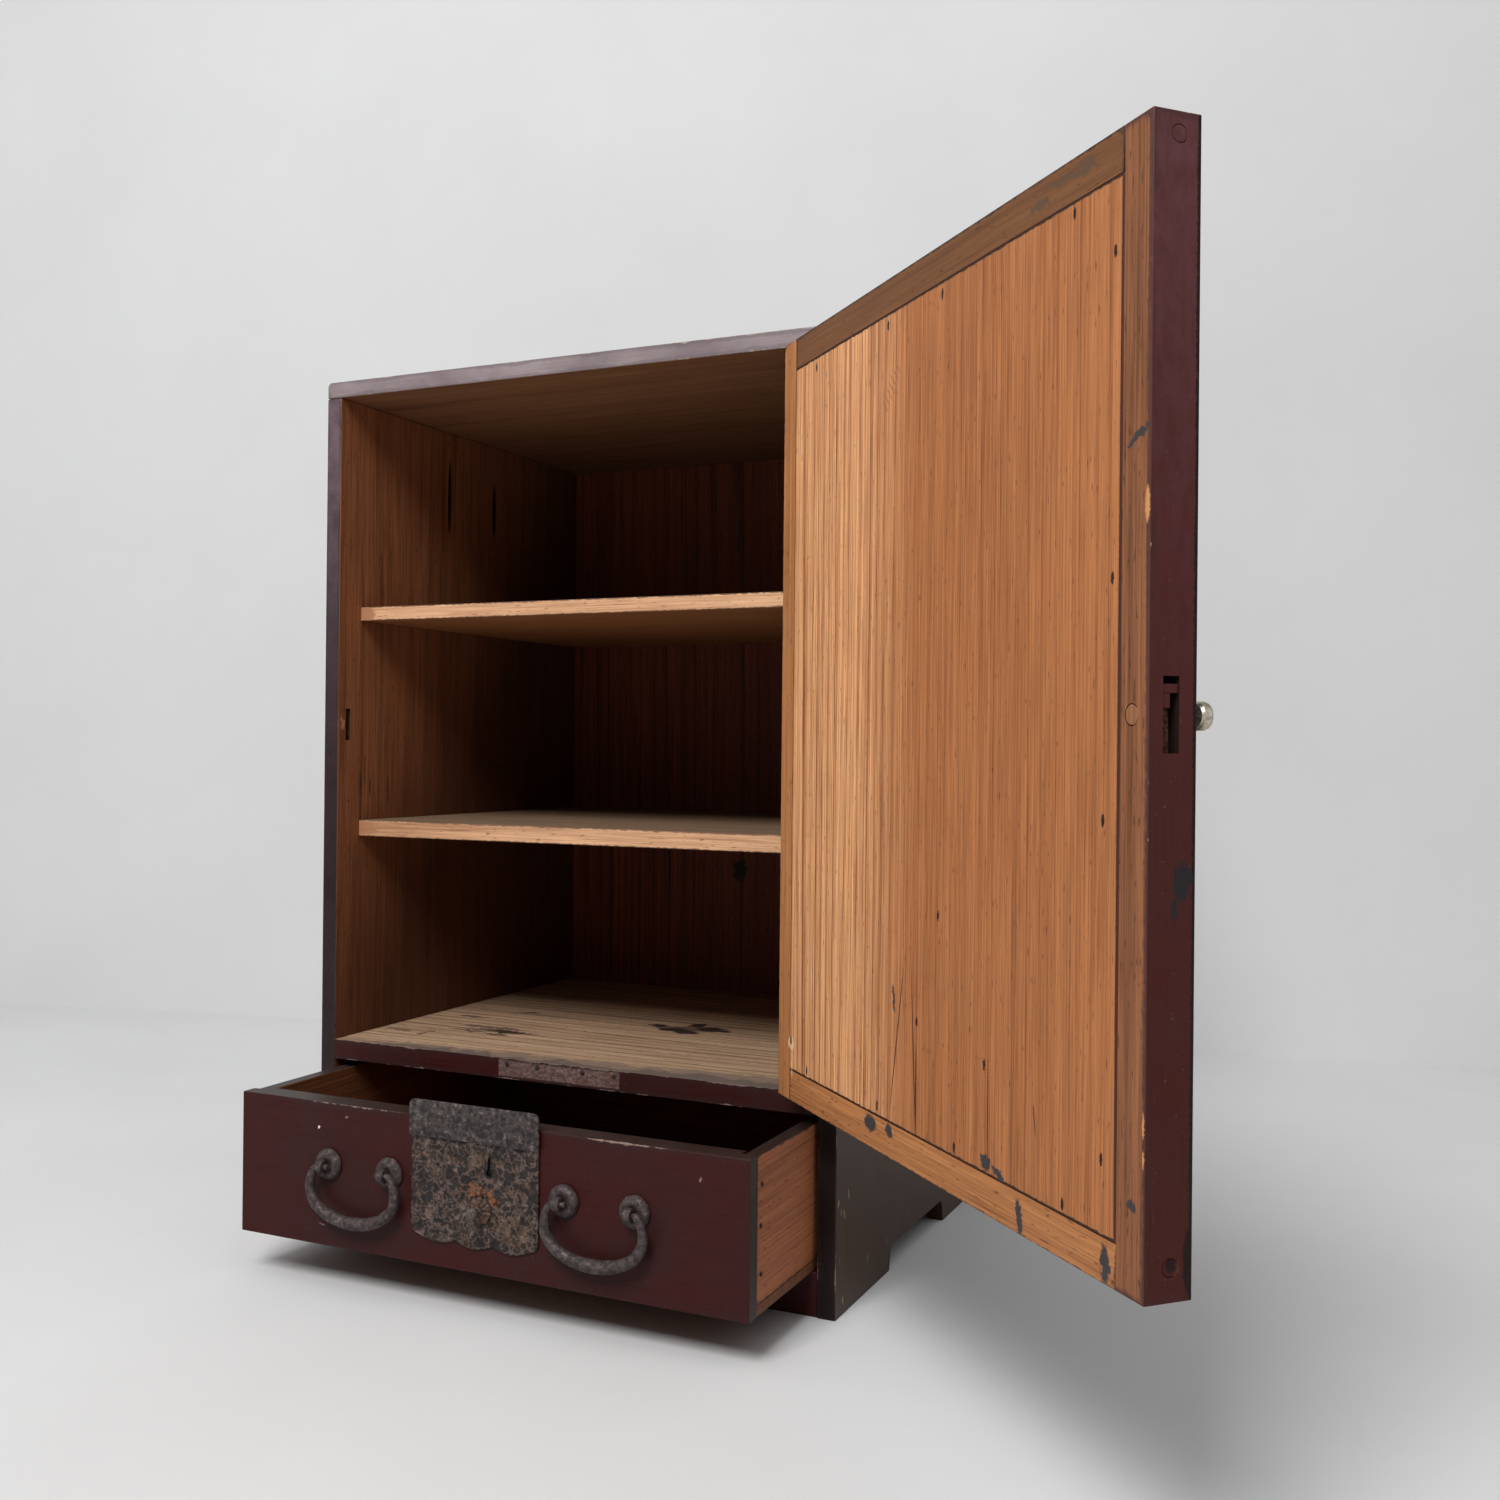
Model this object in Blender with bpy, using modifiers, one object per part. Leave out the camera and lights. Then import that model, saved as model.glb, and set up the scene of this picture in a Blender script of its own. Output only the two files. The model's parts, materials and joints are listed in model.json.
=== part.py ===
"""Tea ceremony cabinet: a small lacquered cupboard with one hinged door over a drawer.

Metres, +Z up, +X to the viewer's right, +Y towards the back. The origin is on the floor, under
the middle of the front base rail. The door stands open and the drawer is part pulled out.
"""
import math

import bmesh
import bpy

# Fits
FIT = 0.0003                    # gap between pieces that touch
OVERCUT = 0.002                 # how far a cutter runs past the face it cuts
ROUND_SIDES = 24                # facets of a round piece
FINE_SIDES = 16                 # facets of a small round piece

# Case boards
CASE_WIDTH = 0.400
CASE_DEPTH = 0.334
SIDE_THICKNESS = 0.0122
TOP_THICKNESS = 0.0114
TOP_EDGE_ROUND = 0.004
FLOOR_THICKNESS = 0.0136        # cupboard floor over the drawer
BOTTOM_THICKNESS = 0.010        # board that the drawer runs on
BACK_THICKNESS = 0.009
BACK_REBATE = 0.005             # how far the back boards are let into the sides
BACK_BOARDS = 3
HOUSING_DEPTH = 0.004           # how far shelf ends sit in the sides
HOUSING_STOP = 0.014            # front stretch where a board isn't housed
BASE_RAIL_THICKNESS = 0.016
BASE_RAIL_HEIGHT = 0.0277
BASE_RAIL_RECESS = 0.001

# Clear heights inside the cupboard, and its shelves
LOWER_SPACE = 0.145
MIDDLE_SPACE = 0.1462
UPPER_SPACE = 0.1491
LOWER_SHELF_THICKNESS = 0.0118
UPPER_SHELF_THICKNESS = 0.0101
SHELF_DOOR_GAP = 0.0012         # behind the closed door

# Feet, cut from the side boards
FRONT_FOOT = 0.0992
REAR_FOOT = 0.115
ARCH_HEIGHT = 0.0163
ARCH_SLOPE = 0.003
ARCH_ROUND = 0.004

# Strike plate on the front edge of the cupboard floor
STRIKE_WIDTH = 0.0945
STRIKE_THICKNESS = 0.0009
STRIKE_TOP_MARGIN = 0.001
STRIKE_LOW_MARGIN = 0.0016
STRIKE_LEFT_NAILS = (0.0074, 0.0314)        # from the plate's left end
STRIKE_RIGHT_NAILS = (0.0281, 0.0038)       # from its right end
NAIL_RADIUS = 0.0008
NAIL_HEAD_RADIUS = 0.0017
NAIL_HEAD_HEIGHT = 0.0007
NAIL_LENGTH = 0.009
NAIL_DROP = 0.0028              # below the plate's upper edge

# Door frame and panels
DOOR_THICKNESS = 0.022
DOOR_RECESS = 0.0008            # closed, behind the case's front
DOOR_TOP_GAP = 0.005
DOOR_BOTTOM_GAP = 0.0028
DOOR_FREE_GAP = 0.0037
DOOR_OPEN_ANGLE = math.radians(135.55)
FRAME_FACE = 0.0182             # frame width that shows on the inside
LINING_REBATE = 0.010
LINING_THICKNESS = 0.007
LINING_FREE_BOARD = 0.098
LINING_MIDDLE_BOARD = 0.072
PANEL_THICKNESS = 0.006
PANEL_SET_BACK = 0.003
PANEL_GROOVE = 0.006
EDGE_PLUG_RADIUS = 0.0034
EDGE_PLUG_LENGTH = 0.006
EDGE_PLUG_SET = 0.0102          # behind the door's outer face
TOP_PLUG_INSET = 0.0088
BOTTOM_PLUG_INSET = 0.0136

# Butt hinges
HINGE_GAP = 0.0024
HINGE_LENGTH = 0.045
HINGE_INSET = 0.055             # from the door's end to the hinge's middle
LEAF_WIDTH = 0.016
LEAF_THICKNESS = 0.0016
LEAF_GAP = 0.0008               # between the closed leaves
KNUCKLE_RADIUS = 0.0021
PIN_RADIUS = 0.001
PIN_HEAD_RADIUS = 0.0018
PIN_HEAD_HEIGHT = 0.0011

# Turning latch in the lock stile
SPINDLE_INSET = 0.0108          # from the door's free edge
KNOB_HEIGHT = 0.224             # above the door's lower edge
SPINDLE_RADIUS = 0.002
TONGUE_REACH = 0.0178
TONGUE_WIDTH = 0.009
TONGUE_THICKNESS = 0.003
TONGUE_SWING_GAP = 0.0005
POCKET_SET = 0.0082             # behind the door's outer face
POCKET_WIDTH = 0.0074
KEEPER_DEPTH = 0.0055           # hole in the left side
KEEPER_GAP = 0.0011
SPINDLE_PLUG_RADIUS = 0.0042
SPINDLE_PLUG_LENGTH = 0.003
COLLAR_RADIUS = 0.0054
COLLAR_LENGTH = 0.009
KNOB_HEAD_RADIUS = 0.0057
KNOB_HEAD_LENGTH = 0.0052
KNOB_HEAD_CROWN = 0.0026        # domed part of its length

# Drawer
DRAWER_HEIGHT = 0.092
DRAWER_PULL = 0.0936            # how far out it stands
DRAWER_RUN = 0.0003             # over the bottom board
DRAWER_HEAD_GAP = 0.0044        # under the cupboard floor
DRAWER_SIDE_GAP = 0.0028
DRAWER_BACK_GAP = 0.008         # behind the closed drawer
DRAWER_FRONT_THICKNESS = 0.0168
DRAWER_LIP = 0.0101             # front thickness that covers the sides' ends
DRAWER_SIDE_THICKNESS = 0.0096
DRAWER_SIDE_SET = 0.0005        # side's outer face behind the front's end
DRAWER_SIDE_DROP = 0.0012       # side's upper edge below the front's
DRAWER_BACK_THICKNESS = 0.009
DRAWER_BACK_DROP = 0.006
DRAWER_BOTTOM_THICKNESS = 0.0064

# Drawer lock
PLATE_WIDTH = 0.093
PLATE_THICKNESS = 0.0012
PLATE_LOW_MARGIN = 0.019        # drawer's lower edge to the plate's corners
PLATE_TOP_MARGIN = 0.002
PLATE_LOBES = 3
PLATE_LOBE_DROP = 0.0032
PLATE_BOW = 0.0008              # of the whole lower edge
PLATE_CORNER = 0.005
CAP_OVERHANG = 0.0008           # cap wider than the plate, each side
CAP_THICKNESS = 0.0016
CAP_HEIGHT = 0.0225
CAP_RISE = 0.0108               # above the drawer's upper edge
CAP_CORNER = 0.004
KEYHOLE_PLACE = 0.011           # right of the plate's middle
KEYHOLE_HEIGHT = 0.0625         # above the drawer's lower edge
KEYHOLE_RADIUS = 0.002
KEYHOLE_SLOT = 0.0014
KEYHOLE_LENGTH = 0.0095
LOCK_PLACE = 0.005              # right of the plate's middle
LOCK_KNOB_HEIGHT = 0.0395
BOLT_WIDTH = 0.014
BOLT_THICKNESS = 0.004
BOLT_THROW = 0.006
BOLT_HEAD_GAP = 0.0005          # under the cupboard floor, drawn back
BOLT_TAIL = 0.009               # below the knob
BOLT_PLAY = 0.0008
BOLT_SOCKET_SPARE = 0.0015
LOCK_CASE_WIDTH = 0.050
LOCK_CASE_WALL = 0.004
LOCK_CASE_TAIL = 0.012
LOCK_CASE_DROP = 0.006
STEM_RADIUS = 0.002
LOCK_BALL_RADIUS = 0.0037
LOCK_NECK_RADIUS = 0.0026
LOCK_NECK_LENGTH = 0.003
ROSETTE_RADIUS = 0.0085
ROSETTE_HEIGHT = 0.0026

# Bail handles
POST_SPACING = 0.048
POST_RADIUS = 0.0018
POST_TAIL = 0.0015              # stands out inside the drawer
HANDLE_HEIGHT = 0.053           # above the drawer's lower edge
HANDLE_PLATE_GAP = 0.0075       # washer to lock plate
WASHER_RADIUS = 0.010
WASHER_HEIGHT = 0.0028
EYE_RADIUS = 0.0042
EYE_WIDTH = 0.0044
EYE_WASHER_GAP = 0.0005
BAIL_END_RADIUS = 0.0018
BAIL_MIDDLE_RADIUS = 0.0041
BAIL_PLAY = 0.0005              # in the eye
BAIL_TIP = 0.003                # past the eye's inner face
BAIL_OUTREACH = 0.0092          # widest part, outside the eye
BAIL_SHOULDER = 0.014
BAIL_DROP = 0.033
BAIL_STEPS = 12                 # along half the bow

# Places that follow from the sizes
inner_half = CASE_WIDTH / 2 - SIDE_THICKNESS
front = -(BASE_RAIL_RECESS + BASE_RAIL_THICKNESS / 2)
back = front + CASE_DEPTH
back_face = back - BACK_THICKNESS
bottom_under = BASE_RAIL_HEIGHT - BOTTOM_THICKNESS
drawer_low = BASE_RAIL_HEIGHT + DRAWER_RUN
floor_under = drawer_low + DRAWER_HEIGHT + DRAWER_HEAD_GAP
floor_top = floor_under + FLOOR_THICKNESS
lower_shelf_under = floor_top + LOWER_SPACE
lower_shelf_top = lower_shelf_under + LOWER_SHELF_THICKNESS
upper_shelf_under = lower_shelf_top + MIDDLE_SPACE
upper_shelf_top = upper_shelf_under + UPPER_SHELF_THICKNESS
top_under = upper_shelf_top + UPPER_SPACE
case_height = top_under + TOP_THICKNESS
shelf_front = front + DOOR_RECESS + DOOR_THICKNESS + SHELF_DOOR_GAP
housed_half = inner_half + HOUSING_DEPTH - FIT

door_low = floor_top + DOOR_BOTTOM_GAP
door_height = top_under - DOOR_TOP_GAP - door_low
door_width = 2 * inner_half - HINGE_GAP - DOOR_FREE_GAP
frame_width = FRAME_FACE + LINING_REBATE
pivot_x = inner_half - HINGE_GAP / 2
pivot_y = front - KNUCKLE_RADIUS - FIT
door_face = KNUCKLE_RADIUS + FIT + DOOR_RECESS      # outer face, behind the pivot
hinge_edge = -HINGE_GAP / 2
free_edge = hinge_edge - door_width
hinge_heights = (HINGE_INSET, door_height - HINGE_INSET)
latch_x = free_edge + SPINDLE_INSET
tongue_set = POCKET_SET + FIT                       # tongue's outer face, behind the door's
plug_set = DOOR_THICKNESS - SPINDLE_PLUG_LENGTH

drawer_half = inner_half - DRAWER_SIDE_GAP
drawer_length = CASE_DEPTH - BACK_THICKNESS - DRAWER_BACK_GAP
side_outer = drawer_half - DRAWER_SIDE_SET
side_inner = side_outer - DRAWER_SIDE_THICKNESS
plate_face = -FIT - PLATE_THICKNESS
cap_face = plate_face - FIT - CAP_THICKNESS
bolt_face = DRAWER_FRONT_THICKNESS + FIT
bolt_top = DRAWER_HEIGHT + DRAWER_HEAD_GAP - BOLT_HEAD_GAP
eye_lead = FIT + WASHER_HEIGHT + EYE_WASHER_GAP + EYE_RADIUS
handle_middle = PLATE_WIDTH / 2 + HANDLE_PLATE_GAP + WASHER_RADIUS + POST_SPACING / 2

# A clean scene, with the cabinet and its cutters in two collections
for old in list(bpy.data.objects):
    bpy.data.objects.remove(old)
cabinet = bpy.data.collections.new("tea_ceremony_cabinet")
cutters = bpy.data.collections.new("cutters")
for collection in (cabinet, cutters):
    bpy.context.scene.collection.children.link(collection)


def finish(name, colour, roughness, metallic=0.0):
    """A Principled material."""
    material = bpy.data.materials.new(name)
    material.use_nodes = True
    shader = material.node_tree.nodes["Principled BSDF"]
    shader.inputs["Base Color"].default_value = (*colour, 1.0)
    shader.inputs["Roughness"].default_value = roughness
    shader.inputs["Metallic"].default_value = metallic
    return material


lacquer = finish("red_brown_lacquer", (0.060, 0.016, 0.014), 0.38)
outer_lacquer = finish("grey_brown_lacquer", (0.055, 0.040, 0.036), 0.48)
cedar = finish("cedar", (0.40, 0.19, 0.075), 0.6)
worn_cedar = finish("worn_cedar", (0.26, 0.15, 0.085), 0.7)
iron = finish("pitted_iron", (0.070, 0.055, 0.050), 0.62, 0.6)
rusty_iron = finish("rusty_iron", (0.17, 0.085, 0.065), 0.8, 0.3)
nickel = finish("worn_nickel", (0.62, 0.55, 0.45), 0.28, 1.0)


def axis(name, place, parent=None, turn=(0.0, 0.0, 0.0)):
    """An empty that stands on a moving body's axis and carries its pieces."""
    empty = bpy.data.objects.new(name, None)
    empty.location = place
    empty.rotation_euler = turn
    empty.parent = parent
    cabinet.objects.link(empty)
    return empty


def put(name, bm, place, collection, parent=None, turn=(0.0, 0.0, 0.0)):
    """An object of a bmesh, placed and parented."""
    mesh = bpy.data.meshes.new(name)
    bm.to_mesh(mesh)
    bm.free()
    made = bpy.data.objects.new(name, mesh)
    made.location = place
    made.rotation_euler = turn
    made.parent = parent
    collection.objects.link(made)
    return made


def piece(name, bm, place, material, parent=None, turn=(0.0, 0.0, 0.0), smooth=False):
    """A sub-part of the cabinet."""
    made = put(name, bm, place, cabinet, parent, turn)
    made.data.materials.append(material)
    if smooth:
        made.data.shade_smooth()
        made.data.set_sharp_from_angle(angle=math.radians(40))
    return made


def tool(name, bm, place, parent=None, turn=(0.0, 0.0, 0.0)):
    """A cutter, or a shape to be joined on."""
    made = put(name, bm, place, cutters, parent, turn)
    made.hide_render = True
    made.display_type = "WIRE"
    return made


def combine(target, operand, operation="DIFFERENCE"):
    """Cut a shape out of a piece, or join it on."""
    step = target.modifiers.new(operand.name, "BOOLEAN")
    step.operation = operation
    step.object = operand


def block(low, high):
    """A box centred on the origin, and the middle of its two corners."""
    bm = bmesh.new()
    bmesh.ops.create_cube(bm, size=1.0)
    bmesh.ops.scale(bm, vec=[h - l for l, h in zip(low, high)], verts=bm.verts)
    return bm, [(l + h) / 2 for l, h in zip(low, high)]


def board(name, low, high, material, parent=None):
    """A plain board between two corners."""
    bm, middle = block(low, high)
    return piece(name, bm, middle, material, parent)


def box_cut(name, low, high, parent=None):
    """A box cutter between two corners."""
    bm, middle = block(low, high)
    return tool(name, bm, middle, parent)


ALONG_X = (0.0, math.pi / 2, 0.0)
ALONG_Y = (math.pi / 2, 0.0, 0.0)
UPRIGHT = (0.0, 0.0, 0.0)


def rod(radius, length, sides=ROUND_SIDES):
    """A closed cylinder along Z, centred on the origin."""
    bm = bmesh.new()
    bmesh.ops.create_cone(bm, cap_ends=True, segments=sides, radius1=radius, radius2=radius, depth=length)
    return bm


def turned(name, profile, place, material, parent=None, turn=ALONG_Y, closed=False, sides=ROUND_SIDES):
    """A profile of (radius, height) points, down its outer side, swept about its own Z."""
    bm = bmesh.new()
    points = [bm.verts.new((radius, 0.0, height)) for radius, height in profile]
    for first, second in zip(points, points[1:]):
        bm.edges.new((first, second))
    if closed:
        bm.edges.new((points[-1], points[0]))
    made = piece(name, bm, place, material, parent, turn)
    sweep = made.modifiers.new("turning", "SCREW")
    sweep.steps = sides
    sweep.render_steps = sides
    sweep.use_merge_vertices = True
    sweep.merge_threshold = 0.00001
    sweep.use_smooth_shade = True
    return made


def arc(radius, start, end, steps, middle=(0.0, 0.0)):
    """Points on a circle, angles in radians."""
    angles = [start + (end - start) * step / steps for step in range(steps + 1)]
    return [(middle[0] + radius * math.cos(a), middle[1] + radius * math.sin(a)) for a in angles]


def flat(outline, thickness):
    """A plate of an outline in X and Z, facing the front, centred on its thickness."""
    curve = bpy.data.curves.new("outline", "CURVE")
    curve.dimensions = "2D"
    curve.fill_mode = "BOTH"
    curve.extrude = thickness / 2
    spline = curve.splines.new("POLY")
    spline.points.add(len(outline) - 1)
    for point, (x, z) in zip(spline.points, outline):
        point.co = (x, z, 0.0, 1.0)
    spline.use_cyclic_u = True
    drawn = bpy.data.objects.new("outline", curve)
    bpy.context.scene.collection.objects.link(drawn)
    bpy.context.view_layer.update()
    mesh = bpy.data.meshes.new_from_object(drawn.evaluated_get(bpy.context.evaluated_depsgraph_get()))
    bm = bmesh.new()
    bm.from_mesh(mesh)
    bmesh.ops.remove_doubles(bm, verts=bm.verts, dist=0.00001)
    bpy.data.objects.remove(drawn)
    bpy.data.curves.remove(curve)
    bpy.data.meshes.remove(mesh)
    return bm


def arch_cutter(name, middle_x):
    """The low arch between the feet: sloped ends and rounded upper corners."""
    low = (0.0, front + FRONT_FOOT, -ARCH_HEIGHT)
    high = (SIDE_THICKNESS + 2 * OVERCUT, back - REAR_FOOT, ARCH_HEIGHT)
    bm, middle = block(low, high)
    for vert in bm.verts:
        if vert.co.z > 0:
            vert.co.y -= math.copysign(ARCH_SLOPE, vert.co.y)
        else:
            vert.co.y += math.copysign(ARCH_SLOPE, vert.co.y)
    corners = [edge for edge in bm.edges
               if all(vert.co.z > 0 for vert in edge.verts)
               and edge.verts[0].co.y * edge.verts[1].co.y > 0]
    bmesh.ops.bevel(bm, geom=corners, offset=ARCH_ROUND, affect="EDGES", segments=4, profile=0.5)
    return tool(name, bm, (middle_x, middle[1], middle[2]))


def make_sides():
    """Side boards with feet, housings for the boards between them and a rebate for the back."""
    housed = (
        ("lower_shelf_housing", shelf_front, lower_shelf_under, lower_shelf_top),
        ("upper_shelf_housing", shelf_front, upper_shelf_under, upper_shelf_top),
        ("floor_housing", front + HOUSING_STOP, floor_under, floor_top),
        ("bottom_housing", front + HOUSING_STOP, bottom_under, BASE_RAIL_HEIGHT),
    )
    made = {}
    for name, sign in (("left_side", -1), ("right_side", 1)):
        x_low, x_high = sorted((sign * inner_half, sign * CASE_WIDTH / 2))
        side = board(name, (x_low, front, 0.0), (x_high, back, top_under - FIT), outer_lacquer)
        combine(side, arch_cutter(name + "_arch", (x_low + x_high) / 2))
        opening = sign * (inner_half - OVERCUT)
        x_low, x_high = sorted((opening, sign * (inner_half + HOUSING_DEPTH)))
        for cut_name, y_low, z_low, z_high in housed:
            low = (x_low, y_low, z_low - FIT)
            high = (x_high, back_face, z_high + FIT)
            combine(side, box_cut(name + "_" + cut_name, low, high))
        x_low, x_high = sorted((opening, sign * (inner_half + BACK_REBATE)))
        low = (x_low, back_face - FIT, bottom_under - FIT)
        combine(side, box_cut(name + "_rebate", low, (x_high, back + OVERCUT, case_height)))
        made[name] = side
    return made


def make_top():
    """Top board over the sides, its two side edges rounded over."""
    bm, middle = block((-CASE_WIDTH / 2, front, top_under), (CASE_WIDTH / 2, back, case_height))
    edges = [edge for edge in bm.edges
             if all(vert.co.z > 0 for vert in edge.verts)
             and edge.verts[0].co.x * edge.verts[1].co.x > 0]
    bmesh.ops.bevel(bm, geom=edges, offset=TOP_EDGE_ROUND, affect="EDGES", segments=4, profile=0.5)
    piece("top_board", bm, middle, outer_lacquer, smooth=True)


def make_cupboard_floor():
    """Floor of the cupboard: housed in the sides behind its plain front stretch."""
    floor = board("cupboard_floor", (-housed_half, front, floor_under),
                  (housed_half, back_face - FIT, floor_top), lacquer)
    for sign in (-1, 1):
        x_low, x_high = sorted((sign * (inner_half - FIT), sign * (housed_half + OVERCUT)))
        notch_low = (x_low, front - OVERCUT, floor_under - OVERCUT)
        notch_high = (x_high, front + HOUSING_STOP + FIT, floor_top + OVERCUT)
        combine(floor, box_cut("floor_notch", notch_low, notch_high))
    return floor


def make_inner_boards():
    """Shelves, the drawer's bottom board, the base rail and the back."""
    shelf_back = back_face - FIT
    board("lower_shelf", (-housed_half, shelf_front + FIT, lower_shelf_under),
          (housed_half, shelf_back, lower_shelf_top), cedar)
    board("upper_shelf", (-housed_half, shelf_front + FIT, upper_shelf_under),
          (housed_half, shelf_back, upper_shelf_top), cedar)
    rail_face = front + BASE_RAIL_RECESS
    rail_half = inner_half - FIT
    board("front_base_rail", (-rail_half, rail_face, 0.0),
          (rail_half, rail_face + BASE_RAIL_THICKNESS, BASE_RAIL_HEIGHT), lacquer)
    bottom_front = max(rail_face + BASE_RAIL_THICKNESS, front + HOUSING_STOP) + FIT
    board("bottom_board", (-housed_half, bottom_front, bottom_under),
          (housed_half, shelf_back, BASE_RAIL_HEIGHT), worn_cedar)
    back_half = inner_half + BACK_REBATE - FIT
    width = 2 * back_half / BACK_BOARDS
    for number in range(BACK_BOARDS):
        x_low = -back_half + number * width + FIT / 2
        board(f"back_board_{number + 1}", (x_low, back_face, bottom_under),
              (x_low + width - FIT, back, top_under - FIT), cedar)


def make_strike_plate(floor):
    """Iron plate let into the floor's front edge, held by four round-headed nails."""
    half = STRIKE_WIDTH / 2
    low = floor_under + STRIKE_LOW_MARGIN
    high = floor_top - STRIKE_TOP_MARGIN
    plate = board("strike_plate", (-half, front, low), (half, front + STRIKE_THICKNESS, high), rusty_iron)
    seat_low = (-half - FIT, front - OVERCUT, low - FIT)
    seat_high = (half + FIT, front + STRIKE_THICKNESS + FIT, high + FIT)
    combine(floor, box_cut("strike_seat", seat_low, seat_high))
    nail_profile = [
        (0.0, NAIL_HEAD_HEIGHT), (NAIL_HEAD_RADIUS * 0.7, NAIL_HEAD_HEIGHT * 0.75), (NAIL_HEAD_RADIUS, FIT),
        (NAIL_RADIUS, FIT), (NAIL_RADIUS, -NAIL_LENGTH), (0.0, -NAIL_LENGTH),
    ]
    hole_length = NAIL_LENGTH + FIT + OVERCUT
    left_nails = [-half + inset for inset in STRIKE_LEFT_NAILS]
    right_nails = [half - inset for inset in STRIKE_RIGHT_NAILS]
    for number, x in enumerate(left_nails + right_nails, start=1):
        place = (x, front, high - NAIL_DROP)
        turned(f"strike_nail_{number}", nail_profile, place, iron, sides=FINE_SIDES)
        hole_place = (x, front - OVERCUT + hole_length / 2, high - NAIL_DROP)
        bore = rod(NAIL_RADIUS + FIT, hole_length, FINE_SIDES)
        hole = tool(f"nail_hole_{number}", bore, hole_place, turn=ALONG_Y)
        combine(plate, hole)
        combine(floor, hole)


def make_door_frame(door):
    """Two full-height stiles with two rails lapped onto them, grooved and rebated for the panels."""
    face, inside = door_face, door_face + DOOR_THICKNESS
    lock_inner = free_edge + frame_width
    hinge_inner = hinge_edge - frame_width
    rail_low, rail_high = lock_inner + FIT, hinge_inner - FIT
    members = {
        "door_lock_stile": ((free_edge, face, 0.0), (lock_inner, inside, door_height)),
        "door_hinge_stile": ((hinge_inner, face, 0.0), (hinge_edge, inside, door_height)),
        "door_top_rail": ((rail_low, face, door_height - frame_width), (rail_high, inside, door_height)),
        "door_bottom_rail": ((rail_low, face, 0.0), (rail_high, inside, frame_width)),
    }
    lining_x = (free_edge + FRAME_FACE, hinge_edge - FRAME_FACE)
    lining_z = (FRAME_FACE, door_height - FRAME_FACE)
    lining_face = inside - LINING_THICKNESS
    rebate = box_cut("lining_rebate", (lining_x[0], lining_face - FIT, lining_z[0]),
                     (lining_x[1], inside + OVERCUT, lining_z[1]), door)
    stile_lap = box_cut("stile_lap", (lining_x[0], lining_face - FIT, -OVERCUT),
                        (lining_x[1], inside + OVERCUT, door_height + OVERCUT), door)
    panel_margin = frame_width - PANEL_GROOVE
    panel_x = (free_edge + panel_margin, hinge_edge - panel_margin)
    panel_z = (panel_margin, door_height - panel_margin)
    panel_face = face + PANEL_SET_BACK
    groove = box_cut("panel_groove", (panel_x[0], panel_face - FIT, panel_z[0]),
                     (panel_x[1], panel_face + PANEL_THICKNESS + FIT, panel_z[1]), door)
    frame = {}
    for name, (low, high) in members.items():
        frame[name] = board(name, low, high, lacquer, door)
        if name.endswith("_rail"):
            lap = box_cut(name + "_lap", (lining_x[0] + FIT, lining_face, low[2]),
                          (lining_x[1] - FIT, inside, high[2]), door)
            combine(frame[name], lap, "UNION")
            combine(frame[name], rebate)
        else:
            combine(frame[name], stile_lap)
        combine(frame[name], groove)
    board("door_front_panel", (panel_x[0] + FIT, panel_face, panel_z[0] + FIT),
          (panel_x[1] - FIT, panel_face + PANEL_THICKNESS, panel_z[1] - FIT), lacquer, door)
    joints = (lining_x[0], lining_x[0] + LINING_FREE_BOARD,
              lining_x[0] + LINING_FREE_BOARD + LINING_MIDDLE_BOARD, lining_x[1])
    for name, x_low, x_high in zip(("free", "middle", "hinge"), joints, joints[1:]):
        board(f"door_lining_{name}", (x_low + FIT, lining_face, lining_z[0] + FIT),
              (x_high - FIT, inside, lining_z[1] - FIT), cedar, door)
    return frame


def make_edge_plugs(door, stile):
    """Round wooden plugs in the free edge, over the screws that hold the rails."""
    for name, z in (("top", door_height - TOP_PLUG_INSET), ("bottom", BOTTOM_PLUG_INSET)):
        y = door_face + EDGE_PLUG_SET
        plug = rod(EDGE_PLUG_RADIUS, EDGE_PLUG_LENGTH)
        place = (free_edge + EDGE_PLUG_LENGTH / 2, y, z)
        piece(f"edge_plug_{name}", plug, place, lacquer, door, ALONG_X, smooth=True)
        hole_length = EDGE_PLUG_LENGTH + FIT + OVERCUT
        hole_place = (free_edge - OVERCUT + hole_length / 2, y, z)
        hole = rod(EDGE_PLUG_RADIUS + FIT, hole_length)
        combine(stile, tool(f"edge_plug_hole_{name}", hole, hole_place, door, ALONG_X))


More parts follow.
